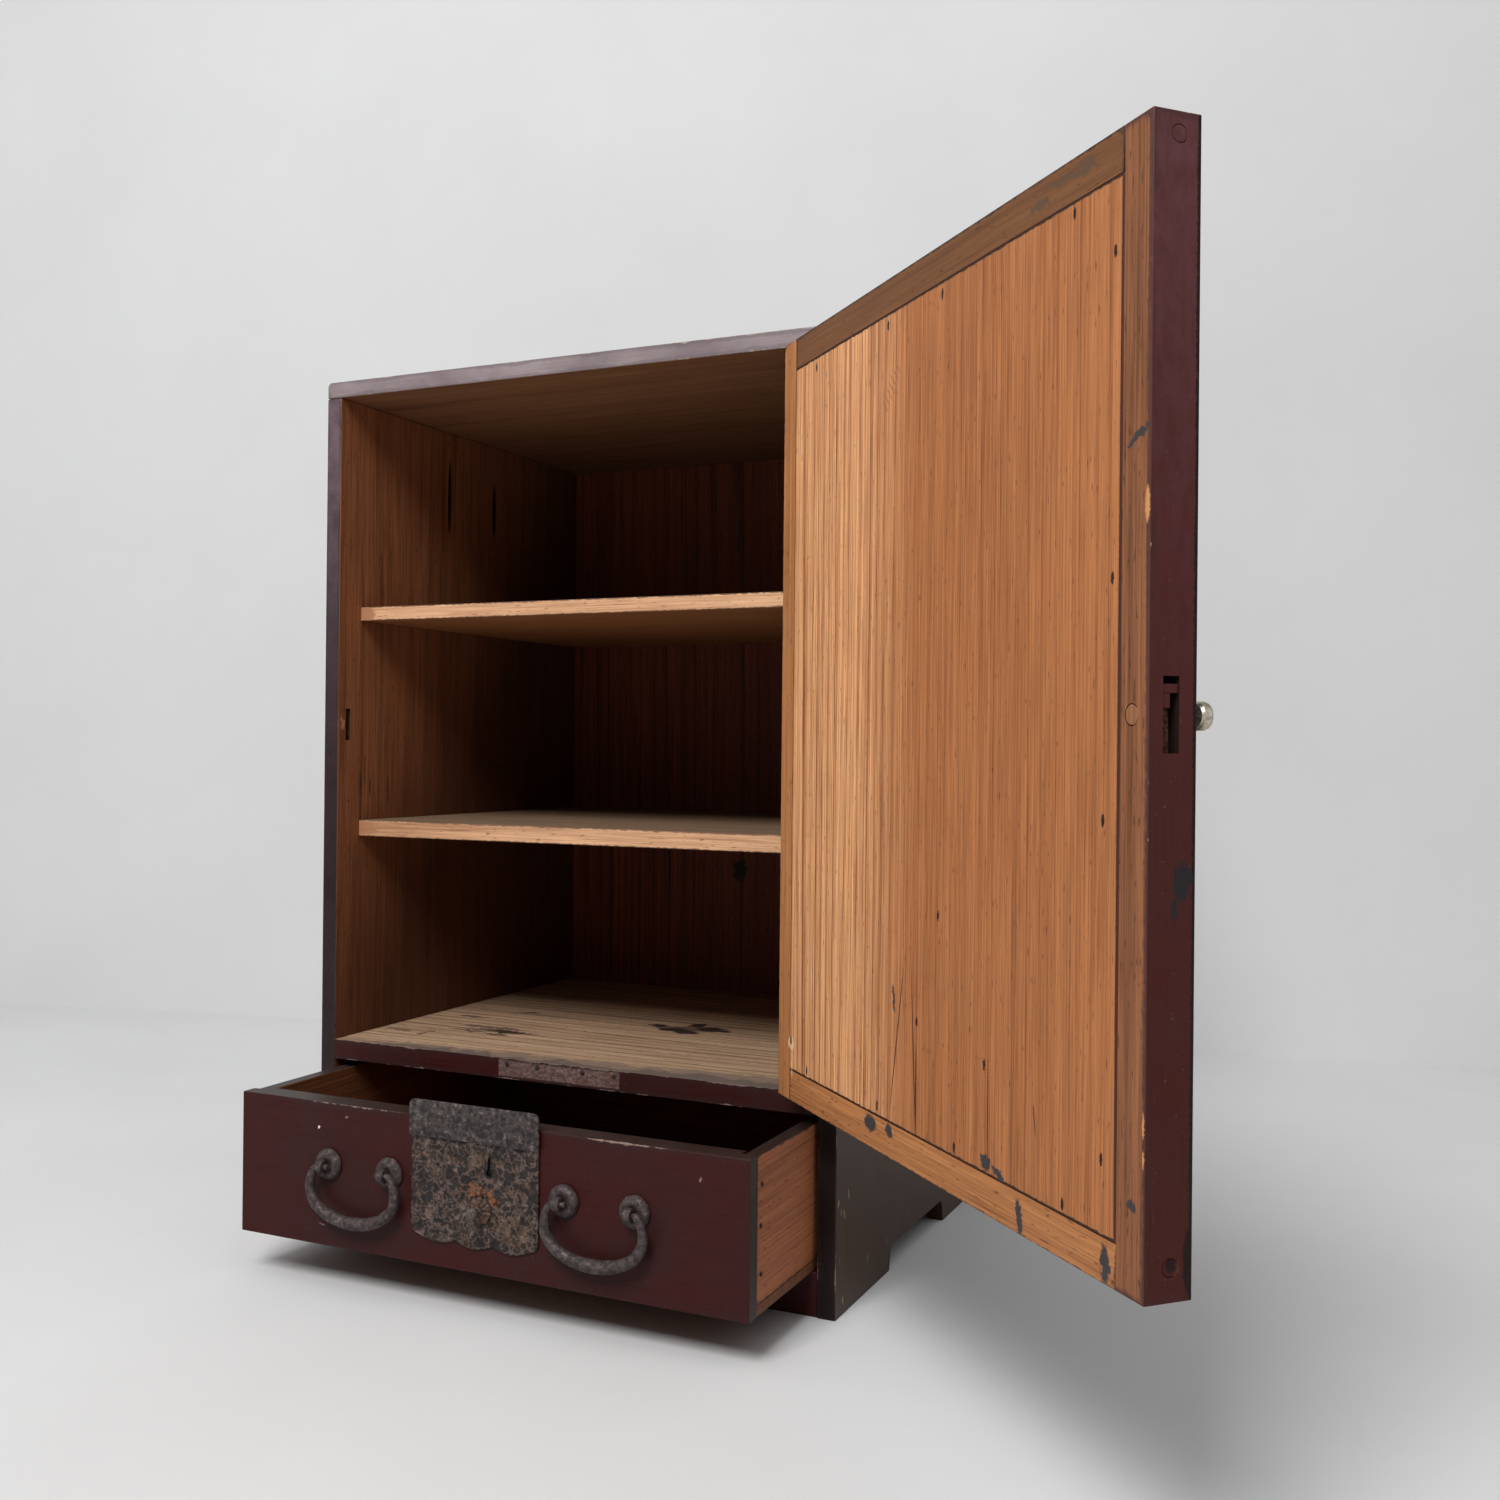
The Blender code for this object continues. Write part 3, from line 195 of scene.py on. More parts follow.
def marked(tree, place, colour, marks):
    """Lays marks on a colour. Each group is a tint, how far its outlines stray in metres, and its spots."""
    for tint, fray, spots in marks:
        inputs = {"Vector": place, "Scale": 0.8 / fray, "Detail": 4.0, "Roughness": 0.65}
        fuzz = add(tree, "TexNoise", inputs).outputs["Color"]
        stray = add(tree, "VectorMath", {0: fuzz, 1: (0.5, 0.5, 0.5)}, operation="SUBTRACT").outputs["Vector"]
        stray = add(tree, "VectorMath", {0: stray, "Scale": 2.5 * fray}, operation="SCALE").outputs["Vector"]
        frayed = add(tree, "VectorMath", {0: place, 1: stray}, operation="ADD").outputs["Vector"]
        nearest = None
        for middle, half_sizes, turn in spots:
            inputs = {"Vector": frayed, "Location": middle, "Rotation": turn, "Scale": half_sizes}
            turned = add(tree, "Mapping", inputs, vector_type="TEXTURE").outputs["Vector"]
            away = add(tree, "VectorMath", {0: turned}, operation="LENGTH").outputs["Value"]
            nearest = away if nearest is None else number(tree, "MINIMUM", nearest, away)
        colour = mixed(tree, spread(tree, nearest, 1.0, 0.75), colour, tint)
    return colour


def face_spots(axis, level, reach, rows):
    """Spots on a flat face that lies across an axis. Each row has two coordinates, two half sizes and,
    where the spot is turned, its lean."""
    i = "XYZ".index(axis)
    spots = []
    for row in rows:
        middle, half_sizes, turn = list(row[:2]), list(row[2:4]), [0.0, 0.0]
        middle.insert(i, level)
        half_sizes.insert(i, reach)
        turn.insert(i, row[4] if len(row) > 4 else 0.0)
        spots.append((middle, half_sizes, turn))
    return spots


def cedar_tone(tree, grain, pale, deep, ring, wander, bands, stain):
    """The colour of planed cedar, with its late wood lines and its fibres for the relief."""
    across = add(tree, "SeparateXYZ", {"Vector": grain}).outputs["X"]
    sway = patches(tree, grain, (0.07, 0.07, 0.55), 1.0)
    crowd = patches(tree, grain, (0.035, 0.035, 4.0), 1.0)
    rings = number(tree, "MULTIPLY_ADD", sway, wander, number(tree, "MULTIPLY", across, 1.0 / ring))
    rings = number(tree, "MULTIPLY_ADD", crowd, 3.0, rings)
    year = number(tree, "FLOOR", rings)
    vigour = add(tree, "TexWhiteNoise", {"W": year}, noise_dimensions="1D").outputs["Value"]
    strong = number(tree, "POWER", spread(tree, number(tree, "FRACT", rings), 0.2, 0.97), 4.0)
    strong = number(tree, "MULTIPLY", strong, spread(tree, vigour, 0.0, 1.0, 0.35, 1.0))
    small = number(tree, "FRACT", number(tree, "MULTIPLY", rings, 3.7))
    small = number(tree, "POWER", spread(tree, small, 0.1, 0.95), 2.5)
    fade = patches(tree, grain, (0.02, 0.02, 0.5), 1.0)
    late = number(tree, "MULTIPLY", strong, spread(tree, fade, 0.35, 0.6, 0.45, 1.0))
    late = number(tree, "MULTIPLY_ADD", small, 0.4, late)
    fibre = patches(tree, grain, (0.0011, 0.0011, 0.05), 3.0, 0.65)
    streak = patches(tree, grain, (0.004, 0.004, 0.35), 3.0, 0.65)
    cloud = patches(tree, grain, (0.05, 0.05, 0.2), 4.0, 0.6)
    depth = number(tree, "MULTIPLY", number(tree, "SUBTRACT", fibre, 0.47), 2.0)
    depth = number(tree, "MULTIPLY_ADD", late, bands, depth)
    depth = number(tree, "MULTIPLY_ADD", number(tree, "SUBTRACT", streak, 0.46), 1.4, depth)
    depth = number(tree, "MULTIPLY_ADD", number(tree, "SUBTRACT", cloud, 0.42), stain, depth)
    colour = mixed(tree, spread(tree, depth, -0.2, 1.0), pale, deep)
    fleck = spread(tree, patches(tree, grain, (0.0012, 0.0012, 0.006), 0.0), 0.72, 0.8)
    colour = mixed(tree, number(tree, "MULTIPLY", fleck, 0.6), colour, [part * 0.35 for part in deep])
    return colour, late, fibre


def finish_cedar(tree, shader, place, tones, edge, marks):
    """Lays worn edges and marks on a cedar colour, and gives it the sheen and relief of bare wood."""
    colour, late, fibre = tones
    if edge:
        tint, start, soft = edge
        wear = add(tree, "Attribute", attribute_name="wear").outputs["Fac"]
        crumbs = patches(tree, place, (0.004, 0.004, 0.004), 3.0, 0.6)
        ragged = number(tree, "MULTIPLY_ADD", crumbs, 0.8, wear)
        colour = mixed(tree, spread(tree, ragged, start, start + soft), colour, tint)
    colour = marked(tree, place, colour, marks)
    tree.links.new(colour, shader.inputs["Base Color"])
    tree.links.new(spread(tree, fibre, 0.25, 0.75, 0.74, 0.54), shader.inputs["Roughness"])
    shader.inputs["Specular IOR Level"].default_value = 0.25
    relief = number(tree, "MULTIPLY_ADD", fibre, 0.5, number(tree, "MULTIPLY", late, 0.5))
    bumped(tree, shader, relief, 0.00035)


def cedar_finish(name, pale, deep, ring, wander=1.2, bands=0.75, stain=0.6, edge=None, depth_shade=None, marks=()):
    """Bare cedar of one cut, optionally with painted shade that darkens it deeper in and lower down, given as
    a dark tint, the direction it thickens in, where along that it starts and is full, and its full share."""
    material, tree, shader, place = new_finish(name)
    grain = add(tree, "Attribute", attribute_name="grain").outputs["Vector"]
    colour, late, fibre = cedar_tone(tree, grain, pale, deep, ring, wander, bands, stain)
    # Painted shade: darkens the wood along a direction, deeper in and lower down.
    if depth_shade:
        tint, slope, start, full, share = depth_shade
        along = add(tree, "VectorMath", {0: place, 1: slope}, operation="DOT_PRODUCT").outputs["Value"]
        colour = mixed(tree, spread(tree, along, start, full, 0.0, share), colour, tint)
    finish_cedar(tree, shader, place, (colour, late, fibre), edge, marks)
    return material


def lacquer_finish(name, colour, dull, bare, roughness=0.42, chip=1.15, streaks=0.35, bloom_and_sheen=None, marks=()):
    """Old lacquer over wood: cloudy tone, faint grain, fine scuffs, and bare wood in spells of worn edge.
    A bloom is a paler tint higher up, partly lacquer turned pale and partly a painted sheen, and the heights
    it grows between."""
    material, tree, shader, place = new_finish(name)
    grain = add(tree, "Attribute", attribute_name="grain").outputs["Vector"]
    cloud = patches(tree, place, (0.07, 0.07, 0.05), 4.0, 0.6)
    streak = patches(tree, grain, (0.0011, 0.0011, 0.04), 3.0, 0.6)
    tone = mixed(tree, spread(tree, cloud, 0.35, 0.65), colour, dull)
    dark = [part * 0.45 for part in colour]
    tone = mixed(tree, number(tree, "MULTIPLY", spread(tree, streak, 0.5, 0.8), streaks), tone, dark)
    speck = spread(tree, patches(tree, place, (0.0019, 0.0019, 0.0019), 1.0), 0.74, 0.79)
    tone = mixed(tree, number(tree, "MULTIPLY", speck, 0.4), tone, [part * 0.5 for part in bare])
    scratch = spread(tree, patches(tree, place, (0.0007, 0.0007, 0.012), 1.0), 0.74, 0.8)
    tone = mixed(tree, number(tree, "MULTIPLY", scratch, 0.3), tone, [part * 0.4 for part in bare])
    # Paler tint higher up: partly real lacquer bloom, partly a painted sheen.
    if bloom_and_sheen:
        tint, low, high = bloom_and_sheen
        height = add(tree, "SeparateXYZ", {"Vector": place}).outputs["Z"]
        risen = number(tree, "POWER", spread(tree, height, low, high), 2.0)
        patchy = spread(tree, patches(tree, place, (0.012, 0.004, 0.012), 4.0, 0.65), 0.3, 0.6, 0.45, 1.0)
        tone = mixed(tree, number(tree, "MULTIPLY", risen, patchy), tone, tint)
    wear = add(tree, "Attribute", attribute_name="wear").outputs["Fac"]
    chips = patches(tree, place, (0.006, 0.006, 0.006), 4.0, 0.65)
    spell = number(tree, "SUBTRACT", patches(tree, place, (0.06, 0.06, 0.06), 1.0), 0.5)
    ragged = number(tree, "MULTIPLY_ADD", spell, 1.2, number(tree, "ADD", wear, chips))
    grime = number(tree, "MULTIPLY", spread(tree, ragged, chip - 0.3, chip), 0.5)
    tone = mixed(tree, grime, tone, [part * 0.6 + 0.008 for part in dull])
    gone = spread(tree, ragged, chip + 0.33, chip + 0.4)
    tone = mixed(tree, gone, tone, bare)
    tone = marked(tree, place, tone, marks)
    tree.links.new(tone, shader.inputs["Base Color"])
    rubbed = number(tree, "MULTIPLY_ADD", number(tree, "SUBTRACT", cloud, 0.5), 0.35, roughness)
    tree.links.new(number(tree, "MULTIPLY_ADD", gone, 0.25, rubbed), shader.inputs["Roughness"])
    shader.inputs["Specular IOR Level"].default_value = 0.14
    relief = number(tree, "MULTIPLY_ADD", streak, 0.35, number(tree, "MULTIPLY", gone, -0.6))
    relief = number(tree, "MULTIPLY_ADD", scratch, -0.2, relief)
    bumped(tree, shader, relief, 0.00025)
    return material


def worn_board(node, axes, seed, into=Matrix.Identity(4), reach=WEAR_REACH):
    """A board's shape with eased edges, its wear and its grain."""
    shape = solid_shape(node, into)
    mark_wear(shape, ease_edges(shape, BOARD_EDGE), reach)
    mark_grain(shape, axes, seed)
    return shape


RIGHT_OUTSIDE = 0.1995
LEFT_INSIDE = -0.1878
case_chips = [((0.42, 0.34, 0.24), 0.0014, face_spots("X", RIGHT_OUTSIDE, 0.004, [
    (0.0127, 0.0725, 0.0006, 0.0038, 0.2), (-0.0046, 0.0705, 0.0006, 0.0028, -0.4),
    (0.0056, 0.0615, 0.0007, 0.0036, 0.3), (0.0005, 0.0640, 0.0005, 0.0020, -0.3),
    (0.0040, 0.0089, 0.0008, 0.0024),
])), ((0.15, 0.12, 0.085), 0.002, face_spots("X", RIGHT_OUTSIDE, 0.004, [
    (0.0480, 0.0215, 0.0011, 0.0034), (0.0842, 0.0218, 0.0010, 0.0030, 0.3),
    (-0.0015, 0.0349, 0.0006, 0.0030),
]))]
case_lacquer = lacquer_finish("case_lacquer", (0.056, 0.026, 0.016), (0.072, 0.041, 0.027),
                              (0.30, 0.21, 0.14), chip=1.3, streaks=0.8, marks=case_chips)
side_edge_lacquer = lacquer_finish("side_edge_lacquer", (0.020, 0.010, 0.011), (0.030, 0.018, 0.020),
                                   (0.30, 0.20, 0.17), chip=1.36, bloom_and_sheen=((0.17, 0.120, 0.134), 0.28, 0.62))
# Painted shade: the right side's front edge gets a darker copy of the edge lacquer, standing in for the shade
# it lies in.
shaded_edge_lacquer = lacquer_finish("shaded_edge_lacquer", (0.009, 0.004, 0.004), (0.015, 0.008, 0.008),
                                   (0.16, 0.10, 0.07), chip=1.36)
# Painted shade: the first group is black patches for the shade inside two slots; the other groups are marks
# on the wood.
left_marks_and_slot_shade = [((0.004, 0.002, 0.001), 0.0008, face_spots("X", LEFT_INSIDE, 0.004, [
    (0.122, 0.5475, 0.0024, 0.034), (0.184, 0.546, 0.0026, 0.026),
])), ((0.075, 0.026, 0.011), 0.0012, face_spots("X", LEFT_INSIDE, 0.004, [
    (0.016, 0.322, 0.0010, 0.011), (0.021, 0.330, 0.0008, 0.014),
    (0.027, 0.319, 0.0009, 0.008), (0.048, 0.316, 0.0010, 0.013),
])), ((0.42, 0.2, 0.09), 0.004, face_spots("X", LEFT_INSIDE, 0.004, [
    (-0.004, 0.366, 0.002, 0.006),
]))]
# The inner faces darken deeper in and lower down as painted shade.
side_cedar = cedar_finish("side_cedar", (0.34, 0.128, 0.052), (0.115, 0.036, 0.014), 0.016, wander=3.0,
                          bands=0.45, stain=1.0, marks=left_marks_and_slot_shade,
                          depth_shade=((0.030, 0.009, 0.004), (0.0, 1.0, -0.65), -0.21, -0.06, 0.75))
for side, inward, seed, edge_lacquer in (("left", 1.0, 1, side_edge_lacquer),
                                         ("right", -1.0, 2, shaded_edge_lacquer)):
    shape = worn_board(side + "_side", "YXZ", seed)
    set_piece(side + "_side_board", shape, "carcass", [side + "_side"],
              [case_lacquer, side_cedar, edge_lacquer],
              lambda normal, middle: 2 if normal.y < -0.5 and middle.y < 0 else int(normal.x * inward > 0.5))


# Top board: one wide board laid over both sides, its front corners rounded off. Lacquered above and
# on the edges, bare cedar underneath, where the cupboard shows it.
top_cedar = cedar_finish("top_underside_cedar", (0.26, 0.115, 0.05), (0.10, 0.038, 0.016), 0.022, wander=5.0,
                         bands=0.5)
# The front edge's pale pinkish grey is partly worn lacquer and partly a painted sheen.
top_edge_lacquer_and_sheen = lacquer_finish("top_edge_lacquer_and_sheen", (0.300, 0.245, 0.250), (0.190, 0.147, 0.153),
                                  (0.34, 0.28, 0.26), chip=1.2, streaks=0.5)
set_piece("top_board_lacquered", worn_board("top_board", "YZX", 3), "carcass", ["top_board"],
          [case_lacquer, top_cedar, top_edge_lacquer_and_sheen],
          lambda normal, middle: 2 if normal.y < -0.5 else int(normal.z < -0.5))


# Cupboard floor: the board over the drawer, worn grey on top by use and stained in two places. Its
# front edge carries the red brown lacquer of the drawer and the recess for the strike plate.
DRAWER_FACE = -0.1026
FLOOR_TOP = 0.138
red_chips_and_hole_shade = [((0.75, 0.70, 0.66), 0.0008, face_spots("Y", DRAWER_FACE, 0.003, [
    (-0.1211, 0.1034, 0.0009, 0.0013, 0.3),
])), ((0.20, 0.13, 0.11), 0.0015, face_spots("Y", DRAWER_FACE, 0.003, [
    (-0.1178, 0.0414, 0.0030, 0.0006, 0.2), (-0.0985, 0.1124, 0.0010, 0.0010),
    (0.1535, 0.1048, 0.0008, 0.0014),
# Painted shade: this black patch behind the keyhole stands in for the shade inside the hole.
])), ((0.004, 0.003, 0.003), 0.0005, face_spots("Y", DRAWER_FACE, 0.003, [
    (0.0110, 0.0955, 0.0050, 0.0120),
]))]
red_lacquer = lacquer_finish("red_lacquer", (0.040, 0.0055, 0.0050), (0.033, 0.0098, 0.0092),
                             (0.22, 0.145, 0.125), chip=1.19, streaks=0.5, marks=red_chips_and_hole_shade)
floor_marks = [((0.20, 0.140, 0.100), 0.014, face_spots("Z", FLOOR_TOP, 0.02, [
    (0.0, -0.007, 0.19, 0.0200), (0.13, -0.004, 0.09, 0.0260),
])), ((0.120, 0.089, 0.073), 0.016, face_spots("Z", FLOOR_TOP, 0.02, [
    (0.0, -0.007, 0.19, 0.0080), (0.13, -0.004, 0.09, 0.0120),
])), ((0.125, 0.076, 0.056), 0.006, face_spots("Z", FLOOR_TOP, 0.02, [
    (-0.112, 0.080, 0.030, 0.0040, 0.05), (-0.100, 0.071, 0.036, 0.0045),
    (-0.122, 0.063, 0.020, 0.0030), (-0.095, 0.059, 0.012, 0.0045, 0.1),
    (-0.146, 0.041, 0.0012, 0.016, -0.13), (-0.1695, 0.042, 0.012, 0.0030),
    (-0.152, 0.112, 0.014, 0.0035), (0.018, 0.142, 0.026, 0.0110, 0.25),
    (0.036, 0.149, 0.016, 0.0100),
])), ((0.040, 0.024, 0.018), 0.009, face_spots("Z", FLOOR_TOP, 0.02, [
    (-0.094, 0.070, 0.018, 0.0050), (-0.123, 0.1445, 0.010, 0.0030, 0.18),
])), ((0.034, 0.019, 0.014), 0.005, face_spots("Z", FLOOR_TOP, 0.02, [
    (-0.006, 0.145, 0.009, 0.0050), (0.012, 0.136, 0.014, 0.0070, 0.1),
    (0.024, 0.131, 0.012, 0.0070), (0.021, 0.160, 0.007, 0.0090),
    (0.035, 0.149, 0.011, 0.0090, 0.2), (0.047, 0.146, 0.007, 0.0040),
]))]
floor_cedar = cedar_finish("worn_floor_cedar", (0.50, 0.335, 0.212), (0.15, 0.084, 0.046), 0.011, wander=2.5,
                           bands=1.0, marks=floor_marks)
shape = worn_board("cupboard_floor", "YZX", 4)
set_piece("cupboard_floor_board", shape, "carcass", ["cupboard_floor"], [red_lacquer, floor_cedar],
          lambda normal, middle: int(abs(normal.z) > 0.5))


# Shelves: two thin cedar boards housed in the sides, set back to clear the closed door. The front
# edges are planed bare and rubbed pale, darker at the left end, and the tops have greyed with use.
shelf_cedar = cedar_finish("shelf_cedar", (0.37, 0.145, 0.050), (0.165, 0.055, 0.017), 0.008, wander=2.5,
                           bands=0.5)
SHELF_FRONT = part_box("upper_shelf")[0][1]
UPPER_EDGE, LOWER_EDGE = ((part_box(shelf)[0][2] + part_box(shelf)[1][2]) / 2
                          for shelf in ("upper_shelf", "lower_shelf"))
shelf_rubs = [((0.38, 0.180, 0.092), 0.003, face_spots("Y", SHELF_FRONT, 0.004, [
    (-0.182, LOWER_EDGE, 0.012, 0.0060), (-0.184, UPPER_EDGE, 0.010, 0.0060),
]))]
shelf_edge_cedar = cedar_finish("shelf_edge_cedar", (0.72, 0.42, 0.235), (0.31, 0.140, 0.068), 0.004,
                                wander=1.2, bands=0.5, stain=1.5, edge=((0.17, 0.085, 0.050), 1.1, 0.15),
                                marks=shelf_rubs)
shelf_top_cedar = cedar_finish("shelf_top_cedar", (0.235, 0.152, 0.092), (0.100, 0.058, 0.033), 0.008,
                               wander=2.5, bands=0.7)
for shelf, seed in (("upper_shelf", 5), ("lower_shelf", 6)):
    set_piece(shelf + "_board", worn_board(shelf, "YZX", seed, reach=0.003), "carcass", [shelf],
              [shelf_cedar, shelf_edge_cedar, shelf_top_cedar],
              lambda normal, middle: 2 if normal.z > 0.8 else int(normal.y < -0.3))


# Back: three upright cedar boards let into the sides, dark with age inside and rubbed with a brown
# stain outside. They are shot tight against each other, so that no light shows between them.
BACK_INSIDE = 0.316
back_marks = [((0.006, 0.002, 0.001), 0.008, face_spots("Y", BACK_INSIDE, 0.01, [
    (-0.019, 0.244, 0.007, 0.012),
]))]
back_cedar = cedar_finish("back_cedar", (0.185, 0.040, 0.013), (0.028, 0.005, 0.002), 0.016, wander=2.0,
                          marks=back_marks)
back_stain = cedar_finish("stained_back_cedar", (0.13, 0.075, 0.045), (0.05, 0.027, 0.017), 0.012, wander=2.0,
                          bands=0.6, edge=((0.03, 0.017, 0.012), 1.1, 0.12))
SEAM_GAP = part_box("back_board_2")[0][0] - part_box("back_board_1")[1][0]
for count in (1, 2, 3):
    shape = solid_shape(f"back_board_{count}")
    if count < 3:
        edge = max(vert.co.x for vert in shape.verts)
        closing = [vert for vert in shape.verts if vert.co.x > edge - 0.001]
        bmesh.ops.translate(shape, vec=(SEAM_GAP, 0.0, 0.0), verts=closing)
    mark_wear(shape, ease_edges(shape, BOARD_EDGE))
    mark_grain(shape, "XYZ", 6 + count)
    set_piece(f"back_plank_{count}", shape, "carcass", [f"back_board_{count}"],
              [back_cedar, back_stain], lambda normal, middle: int(normal.y > -0.5))


# Base: the board that the drawer runs on, of the same worn cedar as the cupboard floor, and the
# lacquered rail nailed across its front between the feet.
for base, axes, seed, slot, finish in (("bottom_board", "YZX", 11, "worn_cedar", floor_cedar),
                                       ("front_base_rail", "ZYX", 12, "lacquer", red_lacquer)):
    shape = solid_shape(base)
    ease_edges(shape, BOARD_EDGE)
    mark_grain(shape, axes, seed)
    set_piece(base + "_piece", shape, "carcass", [base], [finish])


# Strike plate: thin iron let into the floor's front edge for the lock bolt, held by four nails and
# rusted a pinkish brown.
def iron_finish(name, skin, pit, crest, rust, rusty=0.5, grit=0.0022, metallic=0.3, veins=0.0, marks=(),
                shade_overlays=()):
    """Old iron: a rough skin with clouds of rust, dark pits and paler rubbed crests. Deep corrosion leaves a
    net of crests standing round the pits, whose share is veins. Marks lie under the pits and the net, and the
    marks of the last argument lie over them; these are painted shade."""
    material, tree, shader, place = new_finish(name)
    wide = patches(tree, place, (0.013, 0.013, 0.013), 3.0, 0.6)
    rough = patches(tree, place, (grit, grit, grit), 2.0, 0.55)
    fine = patches(tree, place, (grit / 3, grit / 3, grit / 3), 2.0, 0.6)
    coarse = number(tree, "MULTIPLY_ADD", number(tree, "SUBTRACT", fine, 0.5), 0.35, rough)
    patchy = number(tree, "MULTIPLY_ADD", fine, 0.3, wide)
    rusted = spread(tree, patchy, 0.85 - 0.35 * rusty, 1.0 - 0.35 * rusty, 0.0, 0.85)
    colour = marked(tree, place, mixed(tree, rusted, skin, rust), marks)
    colour = mixed(tree, spread(tree, coarse, 0.50, 0.40, 0.0, 0.9), colour, pit)
    colour = mixed(tree, spread(tree, coarse, 0.60, 0.72, 0.0, 0.85), colour, crest)
    if veins:
        rim = patches(tree, place, (1.3 * grit, 1.3 * grit, 1.3 * grit), 2.0, 0.55)
        rim = number(tree, "ABSOLUTE", number(tree, "SUBTRACT", rim, 0.5))
        tint = mixed(tree, spread(tree, wide, 0.42, 0.62), crest, [part * 1.6 for part in rust])
        grown = spread(tree, patchy, 0.48, 0.72, 0.25, veins)
        net = number(tree, "MULTIPLY", spread(tree, rim, 0.055, 0.01), grown)
        colour = mixed(tree, net, colour, tint)
        coarse = number(tree, "SUBTRACT", coarse, spread(tree, rim, 0.0, 0.15, 0.0, 0.25))
    tree.links.new(marked(tree, place, colour, shade_overlays), shader.inputs["Base Color"])
    shader.inputs["Metallic"].default_value = metallic
    tree.links.new(spread(tree, coarse, 0.35, 0.65, 0.78, 0.5), shader.inputs["Roughness"])
    bumped(tree, shader, coarse, 0.0008)
    return material


def dress_node(node, finish):
    """Gives a finish to a solid that shows as it is."""
    materials = frame["nodes"][node].data.materials
    materials.clear()
    materials.append(finish)


low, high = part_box("strike_plate")
strike_rim = [((0.018, 0.010, 0.010), 0.0012, face_spots("Y", low[1], 0.004, [
    ((low[0] + high[0]) / 2, high[2], (high[0] - low[0]) / 2, 0.0009),
]))]
strike_rust = iron_finish("strike_rust", (0.150, 0.085, 0.074), (0.080, 0.044, 0.038), (0.24, 0.158, 0.142),
                          (0.12, 0.048, 0.036), rusty=0.7, grit=0.0028, metallic=0.1, marks=strike_rim)
nail_iron = iron_finish("nail_iron", (0.020, 0.013, 0.012), (0.008, 0.005, 0.005), (0.07, 0.05, 0.045),
                        (0.06, 0.028, 0.018), rusty=0.4, grit=0.001)
shape = solid_shape("strike_plate")
ease_edges(shape, 0.0002)
set_piece("strike_plate_iron", shape, "carcass", ["strike_plate"], [strike_rust])
for count in range(1, 5):
    dress_node(f"strike_nail_{count}", nail_iron)


# Door frame: two stiles and two rails. The outside and the edges are lacquered like the drawer, the
# inner faces are bare cedar, browner than the lining and marked by use. Lacquer has run over the arris.
door_swing = [joint for joint in frame["joints"] if joint["name"] == "door_swing"][0]
DOOR_TURN = math.radians(-door_swing["range_deg"][0])
door_place = Matrix.Translation(door_swing["pos_m"]) @ Matrix.Rotation(DOOR_TURN, 4, "Z")
door_flat = door_place.inverted()
DOOR_INNER = 0.0252
DOOR_OUTER = 0.0032
HINGE_EDGE = -0.0012
FREE_EDGE = -0.3707


def door_spot(along, height, half_width, half_height, lean=0.0):
    """A mark on the door's inner face, by its distance from the hinge edge and height over the floor."""
    middle = door_place @ Vector((HINGE_EDGE - along, DOOR_INNER, height - door_swing["pos_m"][2]))
    turn = (Matrix.Rotation(DOOR_TURN, 3, "Z") @ Matrix.Rotation(lean, 3, "Y")).to_euler()
    return middle, (half_width, 0.006, half_height), turn


def edge_spot(depth, height, half_depth, half_height):
    """A mark on the door's free edge, by its depth behind the outer face and height over the floor."""
    middle = door_place @ Vector((FREE_EDGE, DOOR_OUTER + depth, height - door_swing["pos_m"][2]))
    return middle, (0.006, half_depth, half_height), (0.0, 0.0, DOOR_TURN)


scuffs = ((0.042, 0.037, 0.039), 0.0030, [
    door_spot(0.1300, 0.1535, 0.0085, 0.0046), door_spot(0.1515, 0.1550, 0.0052, 0.0034),
    door_spot(0.2500, 0.1645, 0.0052, 0.0034), door_spot(0.2610, 0.1622, 0.0070, 0.0024, -0.3),
    door_spot(0.2796, 0.1480, 0.0030, 0.0090, 0.2), door_spot(0.3615, 0.1763, 0.0036, 0.0025, -0.4),
    door_spot(0.3440, 0.1490, 0.0036, 0.0090, 0.05), door_spot(0.1560, 0.2235, 0.0018, 0.0075, 0.15),
    door_spot(0.3615, 0.4720, 0.0019, 0.0085, -1.15),
])
raw_chips = ((0.56, 0.26, 0.10), 0.0010, [
    door_spot(0.3676, 0.4447, 0.0016, 0.0080), door_spot(0.3682, 0.2090, 0.0008, 0.0060),
    door_spot(0.3683, 0.1960, 0.0007, 0.0040),
])
pale_chip = ((0.80, 0.54, 0.31), 0.0014, [
    door_spot(0.0200, 0.1752, 0.0048, 0.0046), door_spot(0.0214, 0.1630, 0.0007, 0.0090),
])
lacquer_run = ((0.075, 0.026, 0.022), 0.72, 0.5)
brown_cedar = cedar_finish("door_frame_brown_cedar", (0.31, 0.120, 0.050), (0.085, 0.029, 0.011), 0.009,
                           wander=1.0, bands=0.45, stain=0.9, edge=lacquer_run, marks=[scuffs, raw_chips])
rail_smudge = ((0.105, 0.056, 0.030), 0.0070, [
    door_spot(0.3150, 0.5880, 0.0240, 0.0022, -0.05), door_spot(0.2900, 0.5835, 0.0120, 0.0020),
])
rail_cedar = cedar_finish("door_top_rail_cedar", (0.205, 0.085, 0.031), (0.10, 0.038, 0.013), 0.012,
                          wander=1.0, bands=0.3, stain=0.9, edge=((0.030, 0.014, 0.010), 1.0, 0.3),
                          marks=[rail_smudge])
